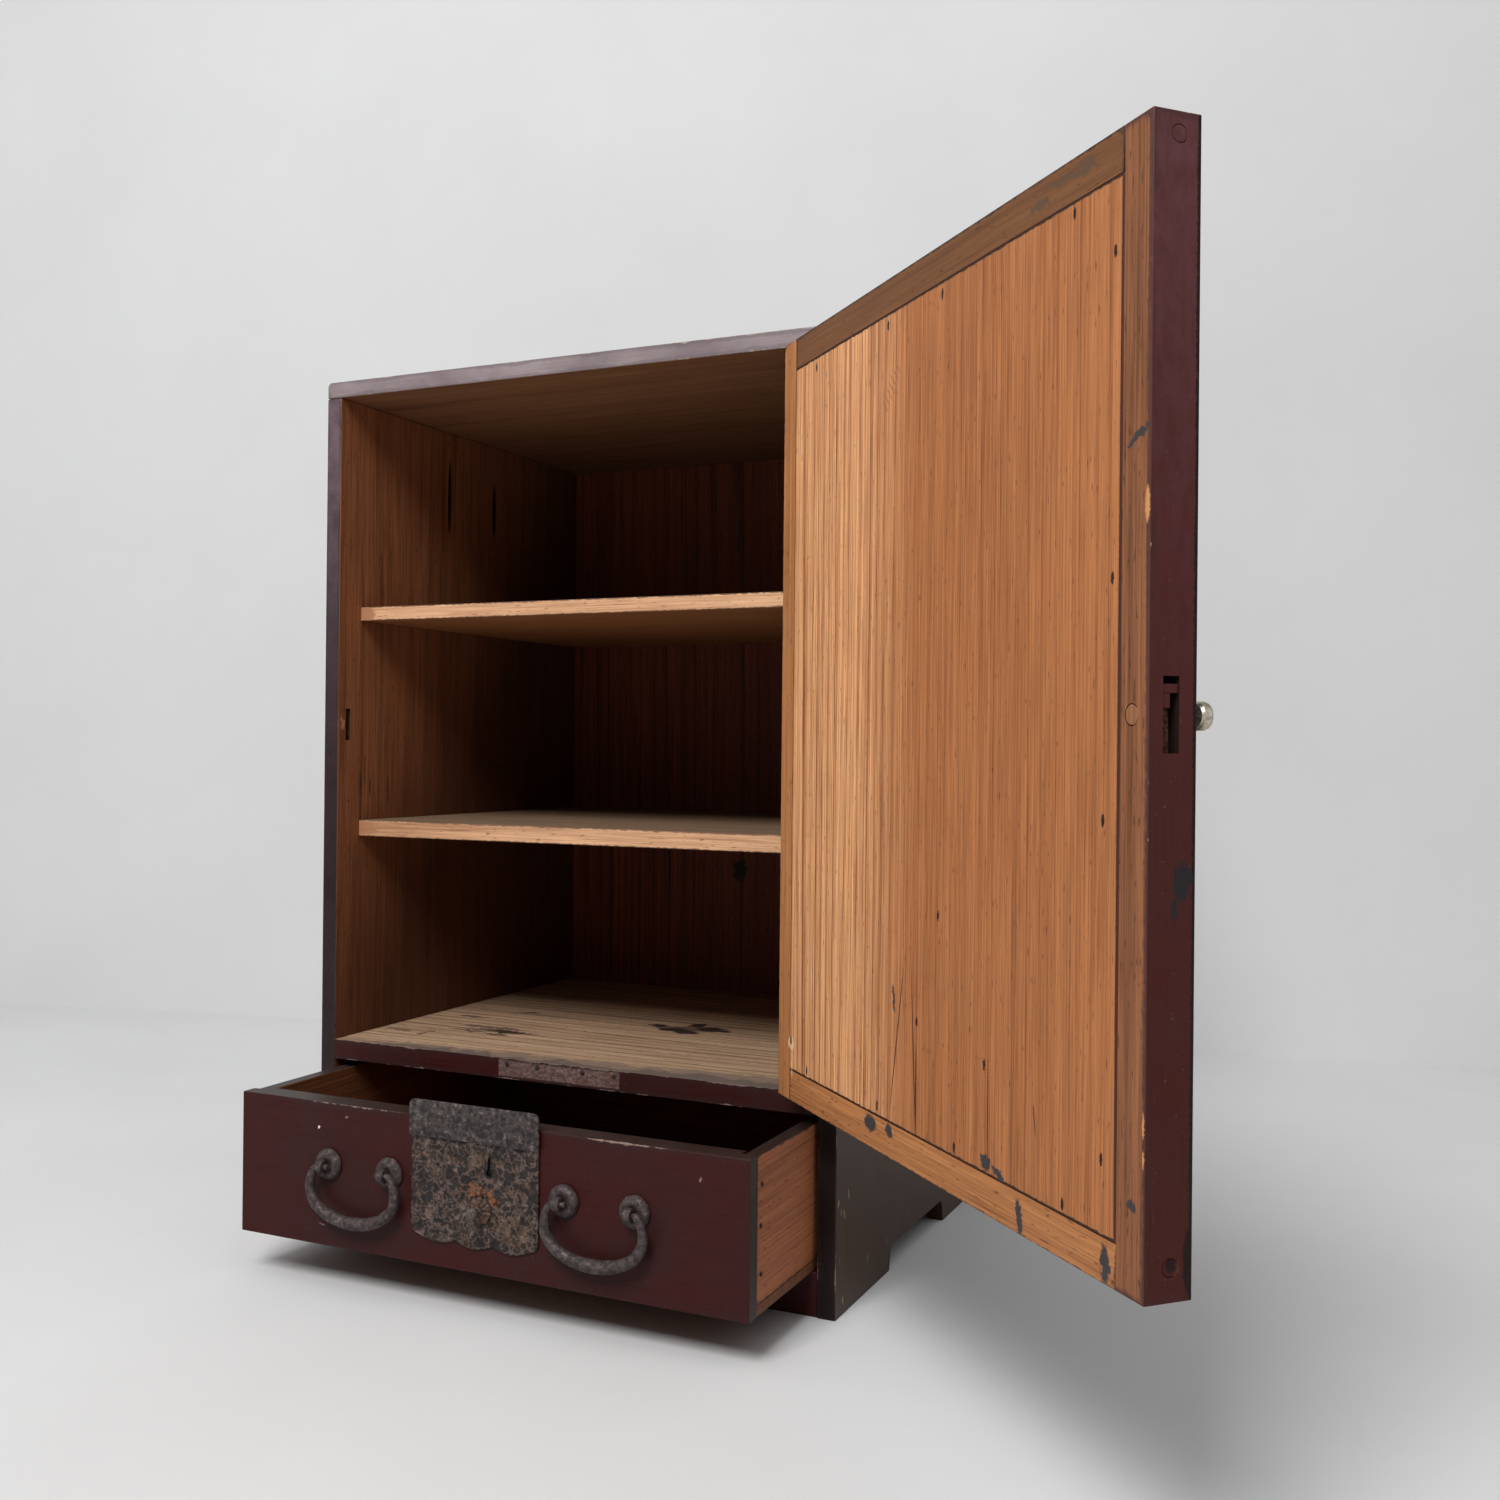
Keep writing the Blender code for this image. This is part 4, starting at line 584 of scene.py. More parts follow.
orange_cedar = cedar_finish("door_frame_orange_cedar", (0.52, 0.215, 0.076), (0.23, 0.083, 0.026), 0.009,
                            wander=1.0, bands=0.35, edge=((0.10, 0.040, 0.022), 1.2, 0.15),
                            marks=[scuffs, raw_chips, pale_chip])
# The long dark band along the outer arris of the free edge is painted shade; the other spots are dirt and
# scuffs.
edge_dirt_and_shade = [((0.012, 0.004, 0.004), 0.0012, [
    edge_spot(0.0, 0.3708, 0.0020, 2.0), edge_spot(0.0015, 0.1560, 0.0032, 0.0150),
    edge_spot(0.0102, 0.1552, 0.0026, 0.0032),
]), ((0.020, 0.016, 0.017), 0.0032, [
    edge_spot(0.0062, 0.3010, 0.0046, 0.0088), edge_spot(0.0096, 0.2905, 0.0021, 0.0052),
])]
door_lacquer = lacquer_finish("door_lacquer", (0.055, 0.0090, 0.0062), (0.052, 0.0130, 0.0100),
                              (0.34, 0.21, 0.17), chip=1.27, streaks=0.5,
                              bloom_and_sheen=((0.100, 0.036, 0.040), 0.20, 0.58), marks=edge_dirt_and_shade)
# A near-black lacquer for the faces inside the latch pocket.
pocket_dark = lacquer_finish("latch_pocket_dark", (0.012, 0.005, 0.004), (0.020, 0.010, 0.008),
                             (0.12, 0.06, 0.04), roughness=0.7)
LATCH_POCKET = ((-0.3705, -0.335), (0.0110, 0.0192), (0.204, 0.244))


def door_face(normal, middle):
    """Lacquer on the outside and the edges, a darker lacquer in the latch pocket, bare cedar on the inside.
    """
    if all(near < part < far for part, (near, far) in zip(middle, LATCH_POCKET)):
        return 2
    return int(normal.y > 0.5)


for part, axes, seed, finish in (("door_lock_stile", "XYZ", 13, brown_cedar),
                                 ("door_hinge_stile", "XYZ", 14, orange_cedar),
                                 ("door_top_rail", "ZYX", 15, rail_cedar),
                                 ("door_bottom_rail", "ZYX", 16, orange_cedar)):
    set_piece(part + "_piece", worn_board(part, axes, seed, door_flat), "door", [part],
              [door_lacquer, finish, pocket_dark], door_face, door_place)
for part, size, middle in (("block", (0.0132, 0.0036, 0.0058), (-0.3636, 0.0169, 0.2293)),
                           ("bridge", (0.0132, 0.0072, 0.0036), (-0.3636, 0.0151, 0.2340))):
    shape = bmesh.new()
    bmesh.ops.create_cube(shape, size=1.0)
    bmesh.ops.scale(shape, vec=size, verts=shape.verts)
    bmesh.ops.translate(shape, vec=middle, verts=shape.verts)
    mark_wear(shape, ease_edges(shape, 0.0004), 0.001)
    mark_grain(shape, "XYZ", 27)
    set_piece("latch_pocket_" + part, shape, "door", [], [door_lacquer], None, door_place)


# Outer panel of the door: a wide board in the frame's grooves, set back a little from the stiles and
# rails and lacquered with them.
shape = worn_board("door_front_panel", "XYZ", 17, door_flat)
set_piece("door_outer_panel", shape, "door", ["door_front_panel"], [door_lacquer], None,
          door_place)


# Door lining: three upright cedar boards nailed into the rebate behind the panel. The hinge side has
# straight strong grain, the rest is calmer. A ragged dark line runs where they meet the frame.
FINE_EDGE = 0.0003
LINING_SEED = 18
strong_side, calm_side = (LINING_SEED * 1.37 + HINGE_EDGE - along for along in (0.118, 0.172))
nail_holes = ((0.020, 0.006, 0.004), 0.001, [
    door_spot(along, height, 0.0012, 0.0030) for along, height in (
        (0.049, 0.571), (0.1427, 0.5705), (0.2018, 0.5708), (0.316, 0.572), (0.3453, 0.5474), (0.044, 0.1635),
        (0.345, 0.4188), (0.340, 0.323), (0.1378, 0.1644), (0.2208, 0.1636), (0.3132, 0.1638),
        (0.3408, 0.1891), (0.1816, 0.216), (0.2483, 0.208), (0.203, 0.2707), (0.0200, 0.1768),
    )
])
seams = ((0.060, 0.016, 0.010), 0.0005, [
    door_spot(0.3504, 0.368, 0.0014, 0.34), door_spot(0.1600, 0.204, 0.0006, 0.044, -0.188),
    door_spot(0.1785, 0.199, 0.0006, 0.048, 0.075), door_spot(0.2520, 0.187, 0.0005, 0.03),
    door_spot(0.1810, 0.182, 0.0004, 0.024), door_spot(0.2912, 0.193, 0.0005, 0.0075, 0.15),
])
chatter = ((0.30, 0.125, 0.055), 0.0006, [
    door_spot(0.140 + 0.0024 * count, 0.529 + 0.0028 * count, 0.0004, 0.0055, 0.75) for count in range(7)
])
material, tree, shader, place = new_finish("lining_cedar")
grain = add(tree, "Attribute", attribute_name="grain").outputs["Vector"]
across = add(tree, "SeparateXYZ", {"Vector": grain}).outputs["X"]
drift = number(tree, "MULTIPLY_ADD", patches(tree, grain, (0.006, 0.006, 0.4), 3.0, 0.6), 0.06, across)
calm = spread(tree, drift, strong_side + 0.03, calm_side + 0.03)
strong_tones = cedar_tone(tree, grain, (0.88, 0.445, 0.205), (0.24, 0.075, 0.024), 0.0120, 0.8, 0.95, 0.3)
calm_tones = cedar_tone(tree, grain, (0.49, 0.188, 0.067), (0.19, 0.060, 0.017), 0.0090, 0.8, 0.55, 0.6)
late, fibre = (add(tree, "Mix", {0: calm, 2: strong_tones[i], 3: calm_tones[i]}).outputs[0] for i in (1, 2))
colour = mixed(tree, calm, strong_tones[0], calm_tones[0])
finish_cedar(tree, shader, place, (colour, late, fibre), ((0.045, 0.018, 0.010), 0.92, 0.12),
             [seams, chatter, scuffs, raw_chips, pale_chip, nail_holes])
lining_cedar = material
for part in ("door_lining_free", "door_lining_middle", "door_lining_hinge"):
    shape = solid_shape(part, door_flat)
    ends = [line for line in ease_edges(shape, FINE_EDGE) if line[0].z == line[1].z]
    mark_wear(shape, [line for line in ends if abs(line[0].x - line[1].x) > 0.02], 0.0025)
    mark_grain(shape, "XYZ", LINING_SEED)
    set_piece(part + "_board", shape, "door", [part], [lining_cedar], None, door_place)


# Wooden plugs: round pegs over the frame's screws in the free edge, lacquered with it, and a bare one
# over the end of the latch spindle.
def soften(shape):
    """Shades a round shape smoothly and keeps its corners sharp."""
    shape.normal_update()
    for face in shape.faces:
        face.smooth = True
    for edge in shape.edges:
        edge.smooth = edge.is_manifold and edge.calc_face_angle(0.0) < 0.75


plug_cedar = cedar_finish("plug_cedar", (0.36, 0.16, 0.065), (0.17, 0.066, 0.028), 0.004,
                          edge=((0.05, 0.02, 0.012), 1.2, 0.12))
for part, finish in (("spindle_plug", plug_cedar), ("edge_plug_top", door_lacquer),
                     ("edge_plug_bottom", door_lacquer)):
    shape = solid_shape(part, door_flat)
    rim = ease_edges(shape, FINE_EDGE, False)
    mark_wear(shape, rim if finish == plug_cedar else [], 0.0012)
    mark_grain(shape, "XYZ", 21)
    soften(shape)
    set_piece(part + "_peg", shape, "door", [part], [finish], None, door_place)


# Hinges: two iron butts, one leaf let into the right side and one into the door's edge, round a pin.
# Three screws hold each leaf, with their heads sunk nearly flush.
LEAF_FACE = 0.0004
CASE_SCREW_Y = -0.001
DOOR_SCREW_Y = 0.0112
SCREW_STEP = 0.015
hinge_iron = iron_finish("hinge_iron", (0.060, 0.046, 0.040), (0.022, 0.016, 0.014), (0.16, 0.13, 0.115),
                         (0.10, 0.045, 0.025), rusty=0.6, grit=0.0016)
screw_iron = iron_finish("screw_iron", (0.11, 0.088, 0.076), (0.040, 0.030, 0.026), (0.22, 0.19, 0.165),
                         (0.10, 0.045, 0.025), rusty=0.4, grit=0.0012)


def turned_shape(profile, matrix, steps=48):
    """A lathe shape from a profile of radius and height, which stands on the matrix's own axis."""
    shape = bmesh.new()
    verts = [shape.verts.new((radius, 0.0, height)) for radius, height in profile]
    edges = [shape.edges.new(pair) for pair in zip(verts, verts[1:])]
    bmesh.ops.spin(shape, geom=verts + edges, cent=(0.0, 0.0, 0.0), axis=(0.0, 0.0, 1.0), angle=math.tau,
                   steps=steps, use_merge=True)
    bmesh.ops.remove_doubles(shape, verts=shape.verts, dist=0.000002)
    bmesh.ops.recalc_face_normals(shape, faces=shape.faces)
    bmesh.ops.transform(shape, matrix=matrix, verts=shape.verts)
    soften(shape)
    return shape


screw_head = [(0.0, 0.00012), (0.0009, 0.00018), (0.0017, 0.00016), (0.0020, 0.00008), (0.0021, -0.0003),
              (0.0, -0.0003)]
for height in ("lower", "upper"):
    for part in ("case_leaf", "door_leaf", "pin"):
        dress_node(f"{height}_hinge_{part}", hinge_iron)
    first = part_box(f"{height}_hinge_case_leaf")[0][2] + SCREW_STEP / 2
    on_case = Matrix.Translation((door_swing["pos_m"][0] + LEAF_FACE, CASE_SCREW_Y, first))
    on_case = on_case @ Matrix.Rotation(-math.pi / 2, 4, "Y")
    on_door = door_place @ Matrix.Translation((-LEAF_FACE, DOOR_SCREW_Y, first - door_swing["pos_m"][2]))
    on_door = on_door @ Matrix.Rotation(math.pi / 2, 4, "Y")
    for leaf, body, seat in (("case", "carcass", on_case), ("door", "door", on_door)):
        shape = turned_shape(screw_head, seat, 24)
        screw = shape.verts[:] + shape.edges[:] + shape.faces[:]
        for count in (1, 2):
            copy = bmesh.ops.duplicate(shape, geom=screw)["geom"]
            verts = [item for item in copy if isinstance(item, bmesh.types.BMVert)]
            bmesh.ops.translate(shape, vec=(0.0, 0.0, SCREW_STEP * count), verts=verts)
        set_piece(f"{height}_hinge_{leaf}_screws", shape, body, [], [screw_iron])


# Latch: a dark iron collar and a domed nickel head outside, on a spindle that swings a flat iron
# tongue out of the slot in the free edge.
LATCH_AT = door_place @ Vector((-0.3599, DOOR_OUTER, 0.224))


def nickel_finish(name):
    """Nickel plate rubbed thin, with brassy and grey patches and fine scratches."""
    material, tree, shader, place = new_finish(name)
    wide = patches(tree, place, (0.0035, 0.0035, 0.0035), 3.0, 0.6)
    fine = patches(tree, place, (0.0006, 0.0006, 0.0006), 2.0)
    colour = mixed(tree, spread(tree, wide, 0.4, 0.62), (0.66, 0.62, 0.55), (0.40, 0.34, 0.22))
    colour = mixed(tree, spread(tree, fine, 0.55, 0.75), colour, (0.12, 0.10, 0.08))
    tree.links.new(colour, shader.inputs["Base Color"])
    shader.inputs["Metallic"].default_value = 1.0
    tree.links.new(spread(tree, wide, 0.35, 0.65, 0.2, 0.42), shader.inputs["Roughness"])
    bumped(tree, shader, fine, 0.0001)
    return material


latch_axis = Matrix.Translation(LATCH_AT) @ Matrix.Rotation(DOOR_TURN, 4, "Z")
latch_axis = latch_axis @ Matrix.Rotation(math.pi / 2, 4, "X")
collar_iron = iron_finish("collar_iron", (0.034, 0.025, 0.023), (0.014, 0.010, 0.010), (0.10, 0.08, 0.07),
                          (0.07, 0.035, 0.02), rusty=0.4, grit=0.0012)
worn_nickel = nickel_finish("worn_nickel")
tongue_rust = iron_finish("tongue_rust", (0.10, 0.042, 0.020), (0.035, 0.014, 0.008), (0.20, 0.11, 0.065),
                          (0.18, 0.066, 0.026), rusty=1.2, grit=0.0014, metallic=0.1)
collar = [(0.0023, 0.0003), (0.0052, 0.0003), (0.0054, 0.0008), (0.0054, 0.0062), (0.0050, 0.0068),
          (0.0023, 0.0068), (0.0023, 0.0003)]
set_piece("latch_collar", turned_shape(collar, latch_axis), "latch", ["knob_collar"], [collar_iron])
head = [(0.0, 0.0067), (0.0047, 0.0067), (0.0049, 0.0074), (0.0055, 0.0078), (0.0058, 0.0086),
        (0.0058, 0.0106), (0.0055, 0.0118), (0.0046, 0.0125), (0.0032, 0.0128), (0.0, 0.0129)]
set_piece("latch_head", turned_shape(head, latch_axis), "latch", ["knob_head"], [worn_nickel])
for part in ("latch_spindle", "latch_tongue"):
    dress_node(part, tongue_rust)


# Drawer: a lacquered front rebated over cedar sides, with a back and a bottom board nailed on from
# below. The sides are orange brown outside and rubbed dark along the top; three nails hold each one.
drawer_cedar = cedar_finish("drawer_side_cedar", (0.47, 0.165, 0.068), (0.19, 0.056, 0.024), 0.013,
                            wander=1.5, bands=0.5, edge=((0.060, 0.027, 0.018), 1.15, 0.2))
drawer_rim_lacquer = lacquer_finish("drawer_rim_lacquer", (0.028, 0.016, 0.013), (0.046, 0.030, 0.026),
                                    (0.30, 0.21, 0.17), chip=1.3, streaks=0.8)
drawer_inside = cedar_finish("drawer_inside_cedar", (0.20, 0.075, 0.030), (0.085, 0.028, 0.012), 0.012,
                             wander=2.0, bands=0.5)
shape = solid_shape("drawer_front")
mark_wear(shape, [line for line in ease_edges(shape, BOARD_EDGE) if min(line[0].z, line[1].z) > 0.1])
mark_grain(shape, "ZYX", 22)
set_piece("drawer_front_board", shape, "drawer", ["drawer_front"],
          [red_lacquer, drawer_inside, drawer_rim_lacquer],
          lambda normal, middle: 2 if abs(normal.x) > 0.8 or normal.z > 0.8 else int(normal.y > 0.5))
DRAWER_HALF = 0.185
NAIL_PLACES = ((-0.0862, 0.1023), (-0.0873, 0.0788), (-0.0864, 0.0511))
side_nail = [(0.0, -0.004), (0.0009, -0.004), (0.0010, 0.0), (0.0016, 0.0001), (0.0012, 0.0004),
             (0.0, 0.0006)]
for side, outward, seed in (("left", -1.0, 23), ("right", 1.0, 24)):
    shape = worn_board(f"drawer_{side}_side", "ZXY", seed)
    set_piece(f"drawer_{side}_board", shape, "drawer", [f"drawer_{side}_side"],
              [drawer_inside, drawer_cedar, drawer_rim_lacquer],
              lambda normal, middle: 2 if normal.z > 0.5 else int(normal.x * outward > 0.5))
    for count, (y, z) in enumerate(NAIL_PLACES, 1):
        driven = Matrix.Translation((outward * DRAWER_HALF, y, z))
        driven = driven @ Matrix.Rotation(outward * math.pi / 2, 4, "Y")
        nail = turned_shape(side_nail, driven, 16)
        set_piece(f"drawer_{side}_nail_{count}", nail, "drawer", [], [nail_iron])
for part, axes, seed in (("drawer_back", "ZYX", 25), ("drawer_bottom", "YZX", 26)):
    set_piece(part + "_board", worn_board(part, axes, seed), "drawer", [part], [drawer_inside])


# Lock: an iron plate with a wavy lower edge under a plain cap plate, both pitted and rusted, and the
# lock case screwed on behind.
PLATE_FACE = -0.105
rust_arc = [((0.070, 0.042, 0.021), 0.0090, face_spots("Y", PLATE_FACE, 0.01, [
    (0.008, 0.0965, 0.0130, 0.0060), (0.027, 0.0580, 0.0150, 0.0090, 0.3),
])), ((0.200, 0.070, 0.024), 0.0075, face_spots("Y", PLATE_FACE, 0.01, [
    (0.002, 0.0795, 0.0105, 0.0052, 0.15), (0.0125, 0.0755, 0.0056, 0.0075, -0.6),
]))]
# Painted shade: a black halo round the keyhole stands in for the shade inside it.
keyhole_shade = [((0.003, 0.002, 0.002), 0.0005, face_spots("Y", PLATE_FACE, 0.01, [
    (0.0110, 0.0905, 0.0037, 0.0040), (0.0116, 0.0970, 0.0019, 0.0072, 0.1),
]))]
lock_iron = iron_finish("lock_plate_iron", (0.024, 0.017, 0.015), (0.007, 0.005, 0.005), (0.19, 0.126, 0.105),
                        (0.066, 0.036, 0.024), rusty=0.5, grit=0.0046, veins=0.80, marks=rust_arc,
                        shade_overlays=keyhole_shade)
cap_iron = iron_finish("lock_cap_iron", (0.050, 0.039, 0.036), (0.016, 0.012, 0.011), (0.19, 0.160, 0.150),
                       (0.075, 0.050, 0.040), rusty=0.3, grit=0.0029)
for part, finish in (("lock_plate", lock_iron), ("lock_plate_cap", cap_iron), ("lock_case", cap_iron)):
    shape = solid_shape(part)
    ease_edges(shape, FINE_EDGE, False)
    soften(shape)
    set_piece(part + "_forged", shape, "drawer", [part], [finish])
out_of_drawer = Matrix.Rotation(math.pi / 2, 4, "X")
driven = Matrix.Translation((0.0367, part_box("lock_plate")[0][1], 0.1049)) @ out_of_drawer
plate_nail = [(0.0, -0.001), (0.0012, -0.001), (0.0013, 0.0), (0.0019, 0.0001), (0.0017, 0.0006),
              (0.0010, 0.0009), (0.0, 0.0010)]
set_piece("lock_plate_nail", turned_shape(plate_nail, driven, 24), "drawer", [], [cap_iron])


# Lock bolt: a petalled rosette and a ball knob outside, riveted through the drawer front to the flat
# bolt behind it. Lifting the knob slides the bolt up behind the strike plate.
PETALS = 10
PETAL_ROOT = 0.004
ROSETTE_FOOT = 0.0018
BALL_MIDDLE = 0.00974
BALL_RADIUS = 0.0037
lock_axis = Matrix.Translation((0.005, DRAWER_FACE, 0.0675)) @ out_of_drawer
rosette = [(0.0023, ROSETTE_FOOT), (0.0085, ROSETTE_FOOT), (0.0085, 0.0026), (0.0066, 0.0039),
           (0.0046, 0.0043), (0.0023, 0.0044), (0.0023, ROSETTE_FOOT)]
shape = turned_shape(rosette, Matrix.Identity(4), 96)
for vert in shape.verts:
    if vert.co.to_2d().length > PETAL_ROOT:
        swell = abs(math.sin(PETALS / 2 * math.atan2(vert.co.y, vert.co.x))) ** 0.5
        vert.co.xy *= 0.86 + 0.14 * swell
        vert.co.z = ROSETTE_FOOT + (vert.co.z - ROSETTE_FOOT) * (0.55 + 0.45 * swell)
bmesh.ops.transform(shape, matrix=lock_axis, verts=shape.verts)
rosette_rust = iron_finish("rosette_rust", (0.060, 0.030, 0.018), (0.016, 0.008, 0.006), (0.14, 0.080, 0.050),
                           (0.120, 0.046, 0.018), rusty=0.8, grit=0.0018, metallic=0.1)
ball_iron = iron_finish("ball_iron", (0.105, 0.083, 0.075), (0.045, 0.033, 0.029), (0.22, 0.185, 0.170),
                        (0.10, 0.060, 0.040), rusty=0.2, grit=0.0030)
set_piece("lock_rosette_petals", shape, "bolt", ["lock_rosette"], [rosette_rust])
ball = [(0.0, 0.01344)]
for turn in range(4, 29, 2):
    ball.append((BALL_RADIUS * math.sin(turn / 12), BALL_MIDDLE + BALL_RADIUS * math.cos(turn / 12)))
ball += [(0.0026, 0.0062), (0.0029, 0.0047), (0.0020, 0.0047), (0.0020, -0.02), (0.0, -0.02)]
set_piece("lock_ball", turned_shape(ball, lock_axis, 36), "bolt", ["lock_knob"], [ball_iron])
dress_node("lock_bolt", hinge_iron)


# Handles: forged iron bails, thick in the middle, whose thin ends turn in through the eyes of two
# posts. Each post stands on a domed washer and is clenched inside the drawer.
handle_iron = iron_finish("handle_iron", (0.057, 0.040, 0.038), (0.026, 0.018, 0.017), (0.135, 0.103, 0.098),
                          (0.075, 0.041, 0.033), rusty=0.3, grit=0.0032)
HANDLE_MIDDLE = 0.088
POST_OFFSET = 0.024
EYE_AT = (-0.1104, 0.081)


def forge(shape, depth, size, seed):
    """Leaves the uneven skin of hammered iron."""
    shape.normal_update()
    for vert in shape.verts:
        vert.co += vert.normal * depth * noise.noise(vert.co / size + Vector((seed, 0.0, 0.0)))


def swept_shape(path, sides=20):
    """A round bar drawn along a flat path of x, z and radius."""
    shape = bmesh.new()
    made = bmesh.ops.create_circle(shape, cap_ends=True, segments=sides, radius=1.0)
    face = made["verts"][0].link_faces[0]
    last = Matrix.Identity(4)
    for i, (x, z, radius) in enumerate(path):
        ahead = Vector(path[min(i + 1, len(path) - 1)][:2]) - Vector(path[max(i - 1, 0)][:2])
        tilt = Matrix.Rotation(math.pi / 2 - math.atan2(ahead.y, ahead.x), 4, "Y")
        ring = Matrix.Translation((x, 0.0, z)) @ tilt @ Matrix.Diagonal((radius, radius, 1.0, 1.0))
        if i:
            grown = bmesh.ops.extrude_face_region(shape, geom=[face])
            end = [item for item in grown["geom"] if isinstance(item, bmesh.types.BMFace)][0]
            if i > 1:
                bmesh.ops.delete(shape, geom=[face], context="FACES_ONLY")
            face = end
        bmesh.ops.transform(shape, matrix=ring @ last.inverted(), verts=face.verts)
        last = ring
    bmesh.ops.recalc_face_normals(shape, faces=shape.faces)
    return shape


def half_bail():
    """Half the bow, from the tip in the eye over the shoulder to the middle below."""
    bend, widest, drop, shoulder, steps = 0.0267, 0.0332, 0.033, 0.014, 30
    thin, gain = 0.0018, 0.0023
    path = [(x, 0.0, thin) for x in (0.0188, 0.0215, 0.0242, bend)]
    for step in range(1, steps + 1):
        turn = math.pi * step / steps
        radius = thin + gain * (step / steps) ** 0.8
        if turn <= math.pi / 2:
            path.append((bend + (widest - bend) * math.sin(turn), -shoulder * (1 - math.cos(turn)), radius))
        else:
            path.append((widest * math.sin(turn), -shoulder + (drop - shoulder) * math.cos(turn), radius))
    return path


right_half = half_bail()
bow = [(-x, z, radius) for x, z, radius in right_half] + right_half[-2::-1]
dome = [(0.0021, 0.0003), (0.0095, 0.0003), (0.0100, 0.0010), (0.0098, 0.0020), (0.0092, 0.0030),
        (0.0081, 0.0039), (0.0066, 0.0045), (0.0049, 0.0046), (0.0035, 0.0040), (0.0021, 0.0030),
        (0.0021, 0.0003)]
for side, middle in (("left", -HANDLE_MIDDLE), ("right", HANDLE_MIDDLE)):
    shape = swept_shape(bow)
    forge(shape, 0.0005, 0.005, middle * 100)
    soften(shape)
    bmesh.ops.transform(shape, matrix=Matrix.Translation((middle, *EYE_AT)), verts=shape.verts)
    set_piece(side + "_bail_forged", shape, side + "_handle", [side + "_bail"], [handle_iron])
    for end, x in (("left", middle - POST_OFFSET), ("right", middle + POST_OFFSET)):
        name = f"{side}_handle_{end}"
        at_face = Matrix.Translation((x, DRAWER_FACE, EYE_AT[1])) @ out_of_drawer
        shape = turned_shape(dome, at_face, 40)
        forge(shape, 0.0003, 0.005, x * 50)
        set_piece(name + "_dome", shape, "drawer", [name + "_washer"], [handle_iron])
        dress_node(name + "_post", handle_iron)


# Studio: a pale floor and wall, which show from the front only, a soft sky, one wide lamp over the
# camera, and the camera solved from the photo.
def studio_sheet(name, size, place, colour):
    """A plain pale sheet with a faint unevenness."""
    material, tree, shader, where = new_finish(name)
    shade = patches(tree, where, (0.3, 0.3, 0.3), 4.0, 0.6)
    tone = mixed(tree, spread(tree, shade, 0.3, 0.7), [part * 0.95 for part in colour], colour)
    tree.links.new(tone, shader.inputs["Base Color"])
    shader.inputs["Roughness"].default_value = 0.85
    shader.inputs["Specular IOR Level"].default_value = 0.1
    behind = add(tree, "NewGeometry").outputs["Backfacing"]
    clear = add(tree, "BsdfTransparent").outputs["BSDF"]
    sheer = add(tree, "MixShader", {0: behind, 1: shader.outputs["BSDF"], 2: clear})
    tree.links.new(sheer.outputs["Shader"], tree.nodes["Material Output"].inputs["Surface"])
    shape = bmesh.new()
    bmesh.ops.create_grid(shape, x_segments=1, y_segments=1, size=size, matrix=place)
    mesh = bpy.data.meshes.new(name)
    shape.to_mesh(mesh)
    shape.free()
    mesh.materials.append(material)
    sheet = bpy.data.objects.new(name, mesh)
    bpy.context.scene.collection.objects.link(sheet)


studio_sheet("studio_floor", 6.0, Matrix.Identity(4), (0.62, 0.62, 0.62))
wall_turn = Matrix(((0.965, 0.2615, 0.0), (0.0, 0.0, 1.0), (0.2615, -0.965, 0.0))).transposed().to_4x4()
studio_sheet("studio_wall", 4.0, Matrix.Translation((-0.3, 0.769, 3.99)) @ wall_turn, (0.74, 0.74, 0.74))

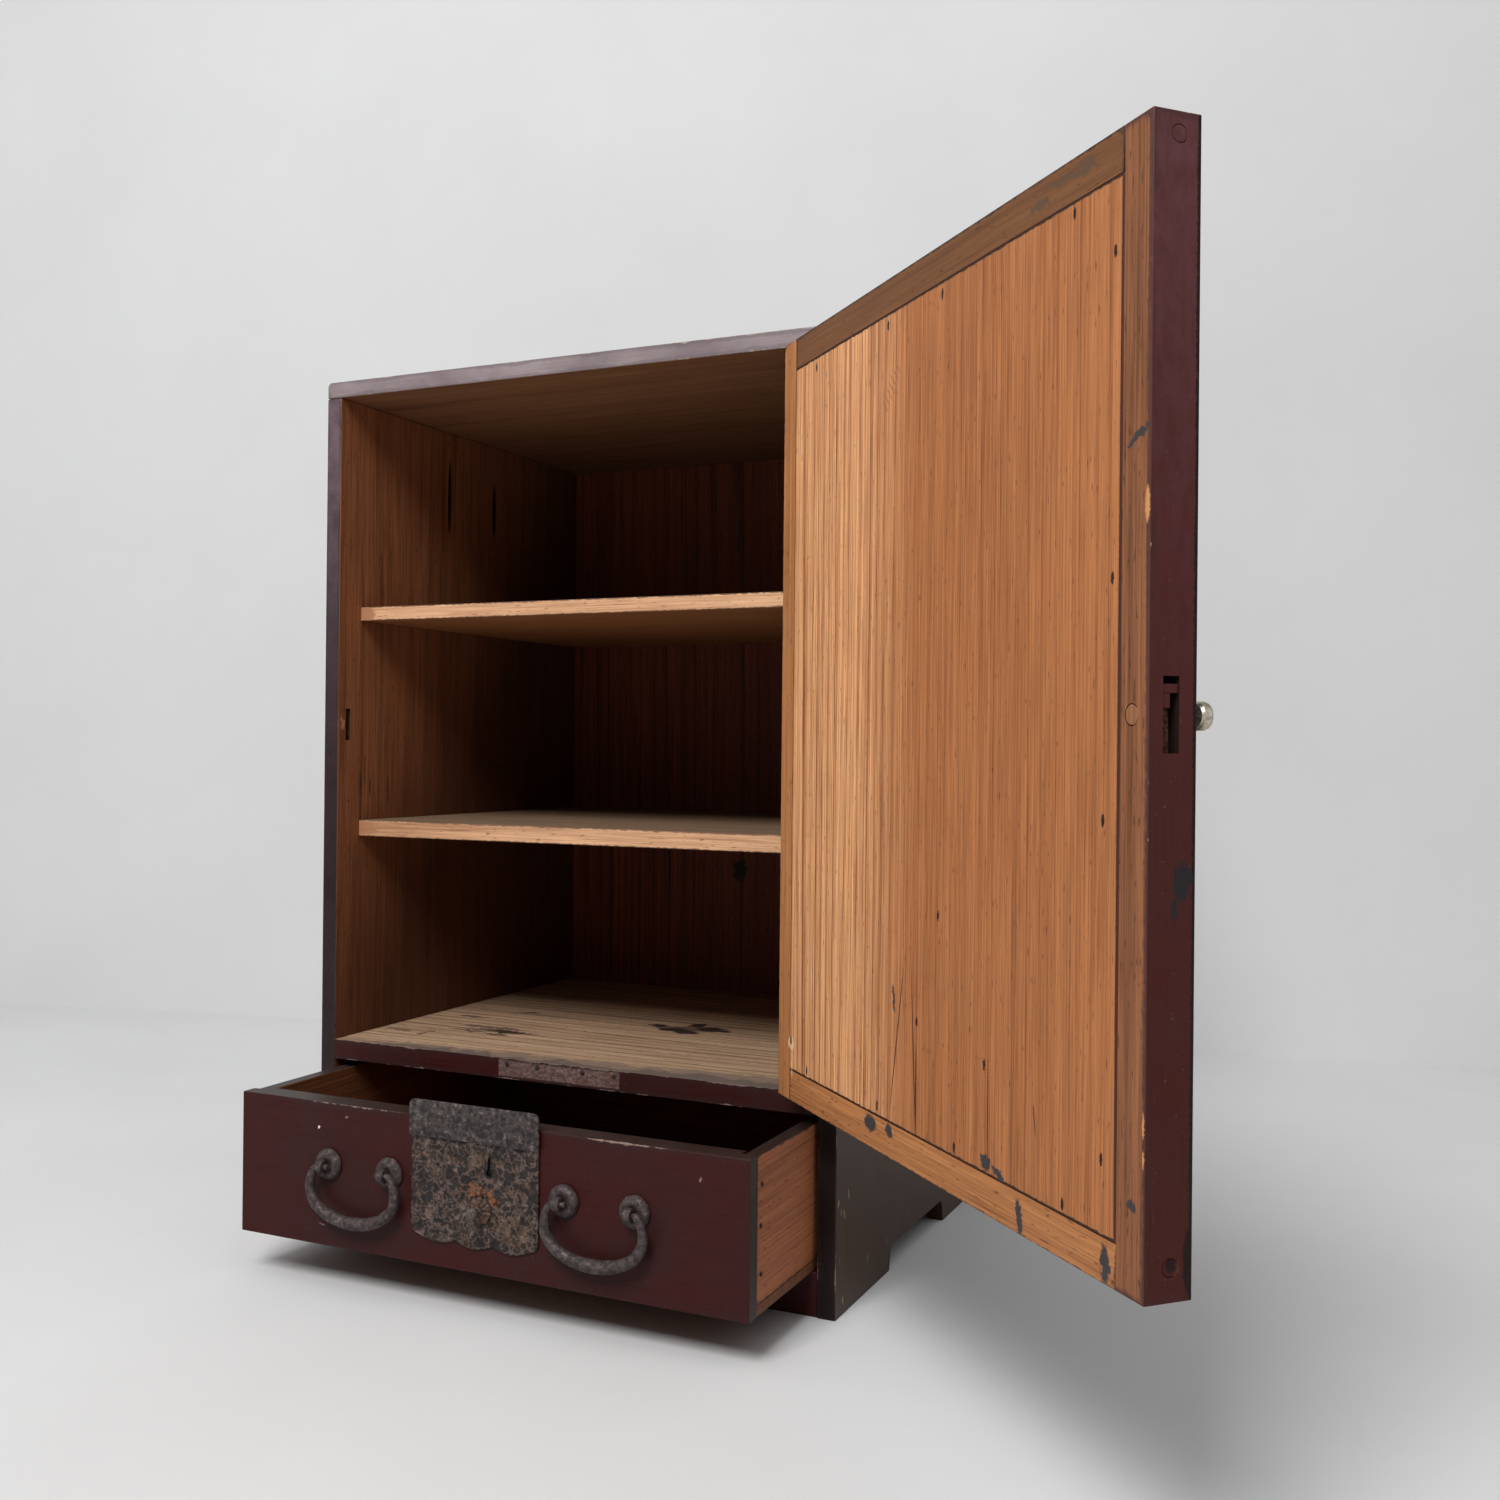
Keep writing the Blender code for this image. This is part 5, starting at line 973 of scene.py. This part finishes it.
world = bpy.data.worlds.new("studio_world")
bpy.context.scene.world = world
world.use_nodes = True
sky = world.node_tree
height = add(sky, "SeparateXYZ", {"Vector": add(sky, "TexCoord").outputs["Generated"]}).outputs["Z"]
path = add(sky, "LightPath").outputs
seen = number(sky, "MAXIMUM", path["Is Camera Ray"], path["Is Glossy Ray"])
seen = number(sky, "MAXIMUM", seen, path["Is Transmission Ray"])
overhead = number(sky, "MULTIPLY", number(sky, "POWER", spread(sky, height, 0.0, 1.0), 2.5), 1.5)
strength = add(sky, "Mix", {0: seen, 2: overhead, 3: 0.7}).outputs[0]
sky.nodes["Background"].inputs["Color"].default_value = (0.98, 0.99, 1.0, 1.0)
sky.links.new(strength, sky.nodes["Background"].inputs["Strength"])


LAMP_AT = Vector((0.15, -1.85, 2.2))
LAMP_TARGET = Vector((0.0, 0.0, 0.4))
lamp = bpy.data.lights.new("key_lamp", "AREA")
lamp.size = 1.0
lamp.energy = 66.0
holder = bpy.data.objects.new("key_lamp", lamp)
holder.location = LAMP_AT
holder.rotation_euler = (LAMP_TARGET - LAMP_AT).to_track_quat("-Z", "Y").to_euler()
bpy.context.scene.collection.objects.link(holder)

CAMERA_AT = (0.5336, -0.86647, 0.35078)
CAMERA_ANGLES = (24.7075, 0.1735, 0.5524)
yaw, pitch, roll = (math.radians(angle) for angle in CAMERA_ANGLES)
ahead = Vector((-math.sin(yaw) * math.cos(pitch), math.cos(yaw) * math.cos(pitch), math.sin(pitch)))
level = Vector((math.cos(yaw), math.sin(yaw), 0.0))
upright = level.cross(ahead)
right = math.cos(roll) * level + math.sin(roll) * upright
up = -math.sin(roll) * level + math.cos(roll) * upright
lens = bpy.data.cameras.new("photo_view")
lens.sensor_width = 36.0
lens.lens = 35.99
lens.shift_y = -0.0047
camera = bpy.data.objects.new("photo_view", lens)
turn = Matrix((right, up, -ahead)).transposed().to_4x4()
camera.matrix_world = Matrix.Translation(CAMERA_AT) @ turn
bpy.context.scene.collection.objects.link(camera)
bpy.context.scene.camera = camera
bpy.context.scene.view_settings.view_transform = "Standard"
